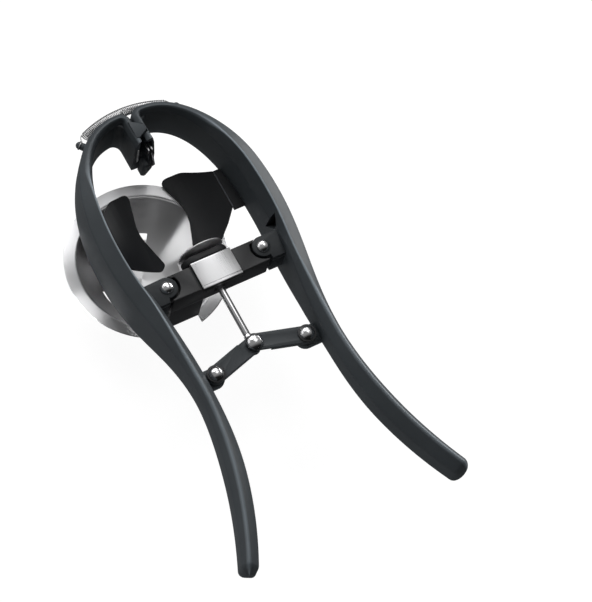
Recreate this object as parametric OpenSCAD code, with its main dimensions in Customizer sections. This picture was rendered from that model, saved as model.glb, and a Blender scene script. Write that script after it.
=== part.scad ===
// Hand-held egg cracker with two sprung lever arms, a toggle plunger and a clip-on separator dish.
// Millimetres, +X to the right arm, +Y to the beak, +Z up through the rivet heads.
// Sizes below are measured from the line through the two arm pivots, at the middle of their heads.

/* [Arms] */
// Distance between the two arm pivots
pivot_span = 48.4; // [40:0.2:60]
// Distance from the pivots to the handle tips
handle_reach = 131.5; // [100:0.5:160]
// Distance between the handle tips
tip_span = 107.4; // [80:0.2:130]
// Distance between the handles at the waist
waist_span = 64.6; // [58:0.2:74]
// How far the waist lies behind the pivots
waist_back = 48; // [40:0.5:56]
// Distance between the walls at the widest part of the loop
loop_span = 78.2; // [74:0.2:90]
// How far the widest part of the loop lies ahead of the pivots
loop_ahead = 22; // [16:0.5:28]
// How far the front of the loop lies ahead of the pivots
front_reach = 82.8; // [78:0.2:90]
// Thickness of an arm at its front and at the beak
front_wall = 4.6; // [4:0.1:5.4]
// Thickness of an arm at the side of the loop
side_wall = 9.6; // [8:0.1:12]
// Thickness of an arm at the waist
waist_wall = 7.4; // [6:0.1:9]
// Thickness of a handle halfway along
grip_wall = 9.3; // [8:0.1:12]
// Thickness of a handle at its tip
tip_wall = 8; // [6:0.1:9]
// Height of the arms' crest above the pivot heads
crest_high = 6; // [4:0.1:8]
// Height of the crest at the front of the loop
crest_front = 0.5; // [-1:0.1:3]
// Depth of the loop's walls below the pivot heads
loop_deep = 25; // [24.5:0.1:27]
// Depth of the handles below the pivot heads
handle_deep = 10; // [8:0.1:13]

/* [Crossbar] */
// Distance from the pivot line to the crossbar's front face
bar_front = 4.6; // [4:0.1:6]
// Distance from the pivot line to the crossbar's rear face
bar_rear = 7; // [6:0.1:9]
// Depth of the crossbar's top below the pivot heads' middle
bar_top = 1; // [0.6:0.1:1.6]
// Height of the crossbar
bar_tall = 14; // [13:0.1:16]
// Thickness of the arm tongues that lie in the crossbar
tongue_thick = 4; // [3:0.1:5]
// Radius of the tongues' round ends
tongue_r = 5; // [4.4:0.1:5.6]
// Width of the sheet steel guide cover
cover_w = 19.6; // [16:0.2:24]
// Thickness of the guide cover's sheet
cover_sheet = 1; // [0.8:0.1:1.4]
// Height of the cover's front skirt
cover_front_tall = 12; // [10.5:0.1:13]
// Height of the cover's rear skirt
cover_rear_tall = 4.4; // [3:0.1:5]
// Diameter of the guide bush
bush_d = 6; // [5:0.1:7]

/* [Links and plunger] */
// Distance between the two link pins
link_span = 45.6; // [42:0.2:48]
// How far the link pins lie behind the pivots
link_back = 44.3; // [42:0.1:47]
// How far the toggle pin lies behind the pivots
toggle_back = 37.9; // [35:0.1:40]
// Width of a link
link_w = 8; // [7:0.1:9]
// Thickness of a link
link_thick = 3; // [2.6:0.1:3.6]
// Depth of the links' tops below the pivot heads' middle
link_top = 4; // [3.6:0.1:5]
// Extra radius of the links' holes at the toggle pin
toggle_slack = 0.95; // [0.8:0.05:1.2]
// Diameter of the plunger rod
rod_d = 3.2; // [2.8:0.1:3.6]
// Gap between the pusher hub and the guide cover at rest
hub_gap = 0.9; // [0.6:0.1:2]
// Thickness of the pusher hub
hub_thick = 3.2; // [3:0.1:5]
// Width of the pusher hub
hub_w = 22.4; // [18:0.2:24]
// Height of the pusher hub
hub_tall = 13.4; // [9:0.1:15]
// Diameter of the pusher cup
cup_d = 21.6; // [18:0.2:24]
// Depth of the pusher cup
cup_deep = 1.8; // [1.5:0.1:3]
// Thickness of the pusher cup's sheet
cup_sheet = 0.8; // [0.6:0.1:1.2]

/* [Fasteners] */
// Diameter of the pivot rivets' shanks
pivot_d = 4; // [3.4:0.1:4.6]
// Diameter of the pivot rivets' domed heads
pivot_head_d = 5.9; // [5.4:0.1:7]
// Diameter of the link rivets' shanks
link_pin_d = 3.2; // [2.8:0.1:3.6]
// Diameter of the link rivets' domed heads
link_head_d = 6.2; // [5.4:0.1:7]
// Diameter of the washers under the link rivets' heads
washer_d = 8.4; // [7.4:0.1:9]
// Thickness of the washers
washer_thick = 0.8; // [0.5:0.1:1.2]
// Diameter of the toggle pin's shank
toggle_d = 3; // [2.6:0.1:3.4]
// Diameter of the toggle pin's domed head
toggle_head_d = 7.2; // [6.6:0.1:8]
// Height of the domed heads
head_tall = 2.4; // [1.8:0.1:3]
// Height of the flat heads that close the rivets
tail_tall = 1.2; // [0.8:0.1:1.6]
// Diameter of the clip screws' threads
screw_d = 2.9; // [2.5:0.1:3.2]
// Diameter of the clip screws' heads
screw_head_d = 5.4; // [4.8:0.1:5.8]
// Diameter of the pusher screw's thread
cup_screw_d = 2; // [1.6:0.1:2.2]

/* [Cradles and beak] */
// Depth of the cradles' roots below the pivot heads
cradle_root = 22.6; // [21:0.1:23]
// How far a cradle's lip hangs below its root
cradle_drop = 9; // [7:0.1:9.2]
// Thickness of a cradle
cradle_thick = 1.3; // [1:0.1:1.5]
// Distance between the creases where the cradles bend down
crease_span = 57.4; // [54:0.2:62]
// Distance from the middle to the left cradle's lip
left_lip = 13.4; // [12:0.1:15]
// Distance from the middle to the right cradle's lip
right_lip = 10.9; // [9.5:0.1:13]
// How far a cradle's root goes into the arm's wall
cradle_grip = 3; // [2:0.1:4]
// Where a cradle's root begins ahead of the pivots
cradle_begin = 29; // [26:0.5:32]
// Length of a cradle's root
cradle_root_len = 21; // [16:0.5:24]
// Gap between the two jaws of the beak
jaw_gap = 0.3; // [0.2:0.05:0.6]
// How far the beak reaches back from the front of the loop
beak_len = 16; // [14:0.2:17]
// Radius of the rounding between a jaw and the loop
jaw_fillet = 3.6; // [2:0.1:5]
// How far the left jaw's foot reaches past its top
left_lean = 0.4; // [0.2:0.1:1]
// How far the right jaw's foot reaches past its top
right_lean = 5; // [4:0.1:6]
// Thickness of a blade
blade_thick = 0.8; // [0.5:0.1:1]
// How far the blades stand out of the jaws
blade_out = 1.2; // [0.8:0.1:2]
// Height of a blade
blade_tall = 15; // [10:0.5:18]

/* [Spring] */
// Outer diameter of the return spring's coil
coil_d = 4.4; // [3.8:0.1:5]
// Diameter of the spring's wire
wire_d = 0.6; // [0.5:0.02:0.62]
// Number of turns in the coil
coil_turns = 39; // [20:1:39]
// Straight-line length of the coil
coil_chord = 41; // [40:0.2:43]
// How far the middle of the coil bows forward
coil_bow = 4.3; // [3:0.1:5]
// Depth of the coil's middle line below the pivot heads
coil_deep = 10.8; // [9:0.1:13]
// Gap between the coil and the front of the loop
coil_gap = 2; // [1.2:0.1:3]
// Diameter of a spring peg
peg_d = 3.5; // [3:0.1:4.2]
// How far a peg stands out of the arm
peg_out = 6; // [5:0.1:8]
// Place of the pegs round the front of the loop, in degrees from the side
peg_angle = 64; // [60:0.5:66]

/* [Separator dish] */
// Diameter over the dish's flange
flange_d = 76; // [70:0.5:82]
// Width of the flange
flange_w = 5; // [3:0.1:7]
// Depth of the bowl
bowl_deep = 22.5; // [18:0.5:26]
// Diameter of the bowl's flat foot
foot_d = 20; // [14:0.5:26]
// Thickness of the dish's sheet
dish_sheet = 0.8; // [0.6:0.1:1.2]
// Depth of the flange below the pivot heads
flange_deep = 33.5; // [33.4:0.1:36]
// How far the dish hangs to the left of the middle
dish_left = 15.8; // [14:0.1:18]
// How far the dish's tab stands behind the pivots
tab_back = 4.6; // [4:0.1:5.2]
// How far the tab stands inside the bowl's rim
tab_inset = 1.6; // [1:0.1:2.4]
// Width of the dish's upright tab
tab_w = 14; // [10:0.2:15]
// How far the tab stands up above the flange
tab_tall = 13; // [8:0.2:15]
// Number of drain slots
slot_count = 3; // [2:1:4]
// Arc of one drain slot, in degrees
slot_arc = 60; // [30:1:80]
// Height of a drain slot
slot_tall = 2.4; // [1.6:0.1:3]
// Depth of a drain slot's top below the flange
slot_deep = 16; // [12:0.1:17]
// Width of the clip that holds the dish
clip_w = 16.4; // [15.6:0.2:18]
// Thickness of the clip from its front to its rear face
clip_thick = 10; // [9:0.1:11]
// Gap between the clip's foot and the flange
clip_gap = 1; // [0.6:0.1:2]

/* [Hidden] */
$fn = 48;

// Clearances
// Between a turning hole and its pin, on the radius
run_gap = 0.05;
// Between flat faces that slide on each other
face_gap = 0.1;
// Between round pieces that pass each other
round_gap = 0.3;

// Where the whole stands: on the dish's foot, with the middle of its length at zero
lift = flange_deep + bowl_deep;
spring_front = front_reach + front_wall / 2 + coil_gap + coil_d;
length_shift = (handle_reach - spring_front) / 2;

// Heights of the layers, from the pivot heads' middle
tongue_low = -bar_top - tongue_thick;
bar_low = -bar_top - bar_tall;
link_low = -link_top - link_thick;
link_mid = -link_top - link_thick / 2;
lug_top = link_low - face_gap;
lug_thick = 4;
eye_top = link_low - face_gap;
eye_wall = 0.4;
eye_tall = rod_d + 2 * eye_wall;
rod_z = eye_top - eye_tall / 2;

// Plan of an arm
tip_x = tip_span / 2;
waist_x = waist_span / 2;
side_x = loop_span / 2;
pivot_x = pivot_span / 2;
link_x = link_span / 2;
jaw_x = jaw_gap / 2 + front_wall / 2;
curl_room = 0.8;
curl_r = front_wall / 2 + curl_room;
loop_x = jaw_x + curl_r;
loop_w = side_x - loop_x;
loop_h = front_reach - loop_ahead;
beak_y = front_reach - beak_len;

// Steps along each stretch of an arm
grip_steps = 12;
blend_steps = 9;
loop_steps = 18;
curl_steps = 5;
tip_turns = [15, 35, 55, 75];

// Soft step from 0 to 1
function ease(u) = (1 - cos(180 * min(1, max(0, u)))) / 2;

// Height of an arm's underside and of its crest at a place along Y
floor_from = 14;
floor_to = -58;
crest_from = 40;
function floor_z(y) =
    -loop_deep + (loop_deep - handle_deep) * ease((floor_from - y) / (floor_from - floor_to));
function crest_z(y) =
    crest_high + (crest_front - crest_high) * ease((y - crest_from) / (front_reach - crest_from));

// Stations of an arm from the handle's tip to the beak: [x, y, thickness, roundness]
function grip_thick(u) = u < 0.5 ? waist_wall + (grip_wall - waist_wall) * ease(2 * u)
    : grip_wall + (tip_wall - grip_wall) * pow(2 * u - 1, 2);
function grip_at(u, round_off) = [
    waist_x + (tip_x - waist_x) * u * u,
    -waist_back - (handle_reach - waist_back) * u,
    grip_thick(u) * round_off,
    round_off
];
function blend_at(u) = [
    waist_x + (side_x - waist_x) * ease(u),
    -waist_back + (loop_ahead + waist_back) * u,
    waist_wall + (side_wall - waist_wall) * ease(u),
    1
];
function loop_at(a) = [
    loop_x + loop_w * cos(a),
    loop_ahead + loop_h * sin(a),
    front_wall + (side_wall - front_wall) * pow(cos(a), 6),
    1
];
function curl_at(a) = [
    loop_x - curl_r * sin(a),
    front_reach - curl_r + curl_r * cos(a),
    front_wall,
    1
];
tip_speed = norm([2 * (tip_x - waist_x), handle_reach - waist_back]);
function tip_u(a) = 1 - tip_wall / 2 * (1 - cos(a)) / tip_speed;
grip_end = tip_u(90);
arm_line = concat(
    [for (a = tip_turns) grip_at(tip_u(a), sin(a))],
    [for (i = [0 : grip_steps - 1]) grip_at(grip_end * (1 - i / grip_steps), 1)],
    [for (i = [0 : blend_steps - 1]) blend_at(i / blend_steps)],
    [for (i = [0 : loop_steps - 1]) loop_at(90 * i / loop_steps)],
    [for (i = [0 : curl_steps]) curl_at(90 * i / curl_steps)],
    [[jaw_x, beak_y, front_wall, 1]]
);
last = len(arm_line) - 1;

// Outward direction at a station, square to the line
function way(i) = arm_line[min(last, i + 1)] - arm_line[max(0, i - 1)];
function out_dir(i) = [way(i)[1], -way(i)[0]] / norm([way(i)[0], way(i)[1]]);

// Section of an arm: [share of the thickness from the middle, height]
function section(low, high, thick) =
    let (outer_drop = min(6, 0.5 * thick), inner_drop = min(3, 0.4 * thick))
    [
        [-0.42, low],
        [-0.5, low + 1.2],
        [-0.5, high - inner_drop],
        [-0.4, high - 0.3 * inner_drop],
        [-0.15, high],
        [0.08, high - 0.1 * outer_drop],
        [0.32, high - 0.5 * outer_drop],
        [0.46, high - outer_drop],
        [0.5, high - 1.6 * outer_drop],
        [0.5, low + 4],
        [0.45, low + 1.2],
        [0.35, low]
    ];
ring_size = 12;
function ring(i) =
    let (
        s = arm_line[i],
        mid = (floor_z(s[1]) + crest_z(s[1])) / 2,
        half = (crest_z(s[1]) - floor_z(s[1])) / 2 * (0.55 + 0.45 * s[3]),
        dir = out_dir(i)
    )
    [for (p = section(mid - half, mid + half, s[2]))
        [s[0] + dir[0] * p[0] * s[2], s[1] + dir[1] * p[0] * s[2], p[1]]];

// A closed solid through rings of points
module skin_over(rings, sides) {
    count = len(rings);
    polyhedron(
        points = [for (r = rings) for (p = r) p],
        faces = concat(
            [[for (k = [0 : sides - 1]) k]],
            [for (i = [0 : count - 2]) for (k = [0 : sides - 1])
                [i * sides + k, (i + 1) * sides + k, (i + 1) * sides + (k + 1) % sides]],
            [for (i = [0 : count - 2]) for (k = [0 : sides - 1])
                [i * sides + k, (i + 1) * sides + (k + 1) % sides, i * sides + (k + 1) % sides]],
            [[for (k = [0 : sides - 1]) (count - 1) * sides + sides - 1 - k]]
        )
    );
}

// Shared shapes
module in_place() {
    translate([0, length_shift, lift]) children();
}

module on_side(side) {
    in_place() if (side > 0) children(); else mirror([1, 0, 0]) children();
}

module bore(x, y, low, high, d) {
    translate([x, y, low]) cylinder(d = d, h = high - low);
}

// A domed head standing on z = 0
module dome(d, tall) {
    r = (d * d / 4 + tall * tall) / (2 * tall);
    intersection() {
        translate([0, 0, tall - r]) sphere(r = r, $fn = 64);
        cylinder(d = d + 1, h = tall + 1);
    }
}

// A rivet with a domed head on top and a flat head below
module rivet(x, y, low, high, shank_d, head_d) {
    translate([x, y, high]) dome(head_d, head_tall);
    bore(x, y, low - tail_tall, high, shank_d);
    bore(x, y, low - tail_tall, low, head_d);
}

// Places of the spring pegs
function peg_dir() = let (v = [cos(peg_angle) / loop_w, sin(peg_angle) / loop_h]) v / norm(v);
peg_foot = [loop_at(peg_angle)[0], loop_at(peg_angle)[1]] + peg_dir() * loop_at(peg_angle)[2] / 2;
peg_turn = atan2(peg_dir()[1], peg_dir()[0]);
peg_in = 3;
module peg_rod(more) {
    translate([peg_foot[0], peg_foot[1], -coil_deep]) rotate([0, 90, peg_turn])
        translate([0, 0, -peg_in]) cylinder(d = peg_d, h = peg_in + more);
}

// Blade inside a jaw, seen from the side: [y, z]
blade_share = 0.62;
blade_x = jaw_gap / 2 + front_wall * blade_share;
blade_root = 5;
blade_high = -crest_high;
module blade_plate(lean) {
    foot_y = beak_y - lean;
    translate([blade_x + blade_thick / 2, 0, 0]) rotate([90, 0, -90]) linear_extrude(height = blade_thick)
        polygon([
            [-(beak_y + blade_root), blade_high],
            [-(beak_y - blade_out * 0.4), blade_high],
            [-(foot_y - blade_out), blade_high - blade_tall * 0.55],
            [-(foot_y + 1), blade_high - blade_tall],
            [-(beak_y + blade_root), blade_high - blade_tall]
        ]);
}

// Root of a cradle, which goes into the arm's wall
root_x = side_x - side_wall / 2 + cradle_grip;
module cradle_root_bar() {
    translate([crease_span / 2, cradle_begin, -cradle_root - cradle_thick])
        cube([root_x - crease_span / 2, cradle_root_len, cradle_thick]);
}

// Lugs that carry the pivot and the link pin
module tongue() {
    translate([0, 0, tongue_low]) linear_extrude(height = tongue_thick) {
        translate([pivot_x, 0]) circle(r = tongue_r);
        polygon([
            [pivot_x, tongue_r],
            [side_x - side_wall / 2, bar_front],
            [side_x - side_wall / 4, bar_front],
            [side_x - side_wall / 4, -bar_rear],
            [pivot_x + tongue_r, -bar_rear],
            [pivot_x, -tongue_r]
        ]);
    }
}

lug_rim = 0.6;
lug_r = link_w / 2 + lug_rim;
module link_lug() {
    translate([0, 0, lug_top - lug_thick]) linear_extrude(height = lug_thick) {
        translate([link_x, -link_back]) circle(r = lug_r);
        translate([link_x, -link_back - lug_r]) square([waist_x - link_x, 2 * lug_r]);
    }
}

// A jaw's foot leans back under the egg, and its top is notched
module beak_foot(lean) {
    translate([jaw_gap / 2 + front_wall, 0, 0]) rotate([90, 0, -90]) linear_extrude(height = front_wall)
        polygon([
            [-beak_y - 1, -loop_deep],
            [-beak_y - 1, -crest_high],
            [-beak_y, -crest_high],
            [-(beak_y - lean), -loop_deep * 0.75],
            [-(beak_y - lean), -loop_deep]
        ]);
}

notch_low = -12;
notch_begin = 3.5;
notch_share = 0.45;
module beak_notch(lean) {
    depth = front_wall * notch_share;
    foot_y = beak_y - lean;
    translate([0, 0, notch_low]) linear_extrude(height = crest_high - notch_low + 1)
        polygon([
            [-1, beak_y + notch_begin],
            [jaw_gap / 2, beak_y + notch_begin],
            [jaw_gap / 2 + depth, foot_y],
            [-1, foot_y]
        ]);
}

// A leaning foot comes to a point between the two jaws
module beak_point(lean) {
    outer = jaw_gap / 2 + front_wall + 1;
    point_y = beak_y - lean;
    translate([0, 0, -loop_deep - 1]) linear_extrude(height = loop_deep + crest_high + 2)
        polygon([
            [jaw_gap / 2, point_y],
            [outer, point_y + lean * 0.55],
            [outer, point_y - 1],
            [jaw_gap / 2, point_y - 1]
        ]);
}

// The corner between a jaw and the loop is filled by a rounding
module jaw_corner() {
    corner = [jaw_gap / 2 + front_wall, front_reach - front_wall / 2];
    sunk = 0.6;
    translate([corner[0], corner[1], -loop_deep]) linear_extrude(height = loop_deep - 1) difference() {
        translate([-sunk, -jaw_fillet]) square([jaw_fillet + sunk, jaw_fillet + sunk]);
        translate([jaw_fillet, -jaw_fillet]) circle(r = jaw_fillet);
    }
}

module arm(lean) {
    difference() {
        union() {
            skin_over([for (i = [0 : last]) ring(i)], ring_size);
            jaw_corner();
            tongue();
            link_lug();
            beak_foot(lean);
        }
        beak_notch(lean);
        beak_point(lean);
        blade_plate(lean);
        cradle_root_bar();
        peg_rod(peg_out);
        bore(pivot_x, 0, tongue_low - 1, 0, pivot_d + 2 * run_gap);
        bore(link_x, -link_back, lug_top - lug_thick - 1, lug_top + 1, link_pin_d);
    }
}

// Moving pieces of each arm
module left_arm() {
    color([0.2, 0.22, 0.24]) on_side(-1) arm(left_lean);
}

module right_arm() {
    color([0.2, 0.22, 0.24]) on_side(1) arm(right_lean);
}

// A closed outline through [x, y, radius] corners, each rounded by its radius
function flat(c) = [c[0], c[1]];
function soft_corner(before, here, after) =
    let (
        back = flat(before) - flat(here),
        ahead = flat(after) - flat(here),
        half = acos(back * ahead / (norm(back) * norm(ahead))) / 2,
        reach = min(here[2] / tan(half), 0.48 * norm(back), 0.48 * norm(ahead)),
        from = flat(here) + back / norm(back) * reach,
        to = flat(here) + ahead / norm(ahead) * reach
    )
    [for (i = [0 : corner_steps]) let (t = i / corner_steps)
        from * pow(1 - t, 2) + flat(here) * 2 * t * (1 - t) + to * t * t];
function soft_outline(corners) =
    let (count = len(corners))
    [for (i = [0 : count - 1])
        each soft_corner(corners[(i + count - 1) % count], corners[i], corners[(i + 1) % count])];
corner_steps = 6;

// A cradle hangs from the arm's wall and bends down to its lip under the egg
crease_x = crease_span / 2;
cradle_end = cradle_begin + cradle_root_len;
lip_y = (cradle_begin + cradle_end) / 2;
toe_in = 8;
low_x = 7.8;
cradle_wide = crease_x - low_x;
curve_steps = 8;
function cradle_z(x) = -cradle_root - cradle_drop * (1 - pow(max(0, (x - low_x) / cradle_wide), 2));
module cradle_sheet() {
    inner_x = low_x - toe_in;
    xs = concat([inner_x], [for (i = [0 : curve_steps]) low_x + cradle_wide * i / curve_steps]);
    rotate([90, 0, 0]) translate([0, 0, -2 * cradle_end]) linear_extrude(height = 2 * cradle_end)
        polygon(concat(
            [for (x = xs) [x, cradle_z(x)]],
            [for (i = [len(xs) - 1 : -1 : 0]) [xs[i], cradle_z(xs[i]) - cradle_thick]]
        ));
}

// Plans of the two cradles, from the crease's rear end round the rear toe, the lip and the front toe
left_rear = cradle_begin - 6;
left_plan = [
    [crease_x, left_rear, 0.5],
    [left_lip + 6.6, left_rear - 2.6, 8],
    [left_lip - 0.4, left_rear - 4.8, 3],
    [left_lip - 3.5, left_rear - 2.4, 2.4],
    [left_lip + 1.1, lip_y - 0.5, 20],
    [left_lip - 4.4, cradle_end + 10, 3],
    [left_lip + 6.6, cradle_end + 8, 8],
    [crease_x, cradle_end, 1]
];
right_rear = cradle_begin + 1.5;
right_plan = [
    [crease_x, right_rear, 0.5],
    [right_lip + 13.4, right_rear - 5, 6],
    [right_lip + 6, right_rear - 11.5, 8],
    [right_lip - 2.9, right_rear - 14, 4],
    [right_lip - 6.3, right_rear - 10, 3],
    [right_lip + 1.3, lip_y + 1, 24],
    [right_lip - 4.9, cradle_end + 9.5, 4],
    [right_lip + 6.1, cradle_end + 8.5, 8],
    [crease_x, cradle_end, 1]
];

module cradle(plan) {
    cradle_root_bar();
    intersection() {
        cradle_sheet();
        translate([0, 0, -cradle_root - 2 * cradle_drop]) linear_extrude(height = 3 * cradle_drop)
            polygon(soft_outline(plan));
    }
}

module left_cradle() {
    color([0.12, 0.13, 0.14]) on_side(-1) cradle(left_plan);
}

module right_cradle() {
    color([0.12, 0.13, 0.14]) on_side(1) cradle(right_plan);
}

module left_blade() {
    color([0.8, 0.81, 0.83]) on_side(-1) blade_plate(left_lean);
}

module right_blade() {
    color([0.8, 0.81, 0.83]) on_side(1) blade_plate(right_lean);
}

module spring_peg() {
    peg_rod(peg_out - peg_d / 2);
    translate([peg_foot[0], peg_foot[1], -coil_deep]) rotate([0, 90, peg_turn])
        translate([0, 0, peg_out - peg_d / 2]) sphere(d = peg_d);
}

module left_spring_peg() {
    color([0.25, 0.26, 0.28]) on_side(-1) spring_peg();
}

module right_spring_peg() {
    color([0.25, 0.26, 0.28]) on_side(1) spring_peg();
}

washer_low = -link_top + face_gap;
module link_rivet() {
    rivet(link_x, -link_back, lug_top - lug_thick, washer_low + washer_thick, link_pin_d, link_head_d);
}

module left_link_rivet() {
    color([0.85, 0.85, 0.87]) on_side(-1) link_rivet();
}

module right_link_rivet() {
    color([0.85, 0.85, 0.87]) on_side(1) link_rivet();
}

module link_washer() {
    difference() {
        bore(link_x, -link_back, washer_low, washer_low + washer_thick, washer_d);
        bore(link_x, -link_back, washer_low - 1, washer_low + washer_thick + 1, link_pin_d);
    }
}

module left_link_washer() {
    color([0.1, 0.1, 0.11]) on_side(-1) link_washer();
}

module right_link_washer() {
    color([0.1, 0.1, 0.11]) on_side(1) link_washer();
}

// Links: full height along their length, half height where they lap at the toggle pin
lap_room = 1.9;
lap_r = link_w / 2 + 2 * toggle_slack + lap_room;
module link_plan() {
    link_angle = atan2(link_back - toggle_back, link_x);
    length = norm([link_x, link_back - toggle_back]);
    translate([0, -toggle_back]) rotate(-link_angle) {
        circle(d = link_w);
        translate([length, 0]) circle(d = link_w);
        translate([0, -link_w / 2]) square([length, link_w]);
    }
}

module link(lap_low) {
    difference() {
        translate([0, 0, link_low]) linear_extrude(height = link_thick) link_plan();
        bore(0, -toggle_back, lap_low, lap_low + link_thick, 2 * lap_r);
        bore(0, -toggle_back, link_low - 1, -link_top + 1, toggle_d + 2 * toggle_slack);
        bore(link_x, -link_back, link_low - 1, -link_top + 1, link_pin_d + 2 * run_gap);
    }
}

module left_link() {
    color([0.17, 0.17, 0.18]) on_side(-1) link(link_mid - face_gap / 2);
}

module right_link() {
    color([0.17, 0.17, 0.18]) on_side(1) link(link_mid + face_gap / 2 - link_thick);
}

// Plunger
hub_y = bar_front + face_gap + cover_sheet + hub_gap;
cup_y = hub_y + hub_thick;
cup_r = (cup_d * cup_d / 4 + cup_deep * cup_deep) / (2 * cup_deep);
eye_d = 7;
collar_long = 3;
collar_from = eye_d / 2 - 0.6;
cup_screw_long = 6;
cup_screw_clear = 0.2;
module along_y(y) {
    translate([0, y, rod_z]) rotate([-90, 0, 0]) children();
}

module plunger_rod() {
    color([0.86, 0.87, 0.88]) in_place() difference() {
        union() {
            along_y(-toggle_back) cylinder(d = rod_d, h = toggle_back + cup_y);
            along_y(-toggle_back + collar_from) cylinder(d = rod_d + eye_wall, h = collar_long);
            bore(0, -toggle_back, eye_top - eye_tall, eye_top, eye_d);
        }
        bore(0, -toggle_back, eye_top - eye_tall - 1, eye_top + 1, toggle_d);
        along_y(cup_y - cup_screw_long) cylinder(d = cup_screw_d, h = cup_screw_long + 1);
    }
}

module pusher_hub() {
    color([0.09, 0.09, 0.1]) in_place() along_y(hub_y) difference() {
        linear_extrude(height = hub_thick) {
            for (x = [-1, 1]) translate([x * (hub_w - hub_tall) / 2, 0]) circle(d = hub_tall);
            square([hub_w - hub_tall, hub_tall], center = true);
        }
        translate([0, 0, -1]) cylinder(d = rod_d, h = hub_thick + 2);
    }
}

module pusher_cup() {
    color([0.85, 0.86, 0.87]) in_place() along_y(cup_y) difference() {
        translate([0, 0, cup_r]) sphere(r = cup_r, $fn = 128);
        translate([0, 0, cup_r]) sphere(r = cup_r - cup_sheet, $fn = 128);
        translate([-2 * cup_r, -2 * cup_r, cup_deep]) cube([4 * cup_r, 4 * cup_r, 4 * cup_r]);
        translate([0, 0, -1]) cylinder(d = cup_screw_d, h = 3);
    }
}

module pusher_screw() {
    color([0.8, 0.8, 0.82]) in_place() along_y(cup_y) {
        translate([0, 0, -cup_screw_long]) cylinder(d = cup_screw_d, h = cup_screw_long + cup_sheet + 0.3);
        translate([0, 0, cup_sheet + cup_screw_clear]) dome(2 * cup_screw_d, cup_screw_d * 0.6);
    }
}

module toggle_pin() {
    color([0.85, 0.85, 0.87]) in_place()
        rivet(0, -toggle_back, eye_top - eye_tall, -link_top + face_gap, toggle_d, toggle_head_d);
}

// Crossbar with a lap at each end for the arms' tongues
bar_rim = 0.5;
lap_clear = 1.2;
bar_end_r = tongue_r + bar_rim;
lap_gap_r = tongue_r + lap_clear;
clip_x = -dish_left;
clip_screw_xs = [clip_x - 2.6, clip_x + 4.4];
clip_screw_y = -0.5;
clip_screw_up = 6;
module bar_plan() {
    for (side = [-1, 1]) translate([side * pivot_x, 0]) circle(r = bar_end_r);
    translate([-pivot_x, -bar_rear]) square([pivot_span, bar_rear + bar_front]);
}

module crossbar() {
    color([0.11, 0.11, 0.12]) in_place() difference() {
        translate([0, 0, bar_low]) linear_extrude(height = bar_tall) bar_plan();
        for (side = [-1, 1]) {
            bore(side * pivot_x, 0, tongue_low - face_gap, 0, 2 * lap_gap_r);
            translate([side * (pivot_x + pivot_span / 2), 0, tongue_low - face_gap + bar_tall / 2])
                cube([pivot_span, pivot_span, bar_tall], center = true);
            bore(side * pivot_x, 0, bar_low - 1, 0, pivot_d);
        }
        along_y(-bar_rear - 1) cylinder(d = bush_d, h = bar_rear + bar_front + 2);
        for (x = clip_screw_xs) bore(x, clip_screw_y, bar_low - 1, bar_low + clip_screw_up, screw_d);
    }
}

module guide_bush() {
    color([0.72, 0.6, 0.35]) in_place() difference() {
        along_y(-bar_rear) cylinder(d = bush_d, h = bar_rear + bar_front);
        along_y(-bar_rear - 1) cylinder(d = rod_d + 2 * run_gap, h = bar_rear + bar_front + 2);
    }
}

module guide_cover() {
    front = bar_front + face_gap;
    rear = -bar_rear - face_gap;
    high = -bar_top + cover_sheet;
    color([0.8, 0.81, 0.82]) in_place() difference() {
        union() {
            translate([-cover_w / 2, rear - cover_sheet, -bar_top])
                cube([cover_w, front - rear + 2 * cover_sheet, cover_sheet]);
            translate([-cover_w / 2, front, high - cover_front_tall])
                cube([cover_w, cover_sheet, cover_front_tall]);
            translate([-cover_w / 2, rear - cover_sheet, high - cover_rear_tall])
                cube([cover_w, cover_sheet, cover_rear_tall]);
        }
        along_y(0) cylinder(d = rod_d + 4 * round_gap, h = front + 2 * cover_sheet);
    }
}

module pivot_rivet(side) {
    color([0.85, 0.85, 0.87]) in_place()
        rivet(side * pivot_x, 0, bar_low, -bar_top + run_gap, pivot_d, pivot_head_d);
}

module left_pivot_rivet() {
    pivot_rivet(-1);
}

module right_pivot_rivet() {
    pivot_rivet(1);
}

// Clip under the left half of the crossbar, with a slot for the dish's tab
flange_top = -flange_deep;
clip_low = flange_top + clip_gap;
clip_rear = -bar_rear;
rim_r = flange_d / 2 - flange_w;
tab_y = -tab_back;
tab_relief = 1.5;
dish_ahead = tab_y + rim_r - tab_inset;
module clip_slot() {
    translate([clip_x - tab_w / 2 - face_gap, tab_y - face_gap, clip_low - 1])
        cube([tab_w + 2 * face_gap, dish_sheet + 2 * face_gap, tab_tall - clip_gap + 1 + 2 * face_gap]);
}

module dish_clip() {
    color([0.1, 0.1, 0.11]) in_place() difference() {
        translate([clip_x - clip_w / 2, clip_rear, clip_low]) cube([clip_w, clip_thick, bar_low - clip_low]);
        clip_slot();
        bore(-pivot_x, 0, bar_low - tail_tall - face_gap, bar_low + 1, pivot_head_d + 2 * round_gap);
        for (x = clip_screw_xs) {
            bore(x, clip_screw_y, clip_low - 1, bar_low - clip_screw_up, screw_head_d + 2 * face_gap);
            bore(x, clip_screw_y, clip_low, bar_low + 1, screw_d);
        }
    }
}

module clip_screws() {
    color([0.7, 0.7, 0.72]) in_place() for (x = clip_screw_xs) {
        bore(x, clip_screw_y, bar_low - clip_screw_up, bar_low + clip_screw_up, screw_d);
        bore(x, clip_screw_y, bar_low - clip_screw_up - screw_d * 0.6, bar_low - clip_screw_up, screw_head_d);
    }
}

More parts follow.
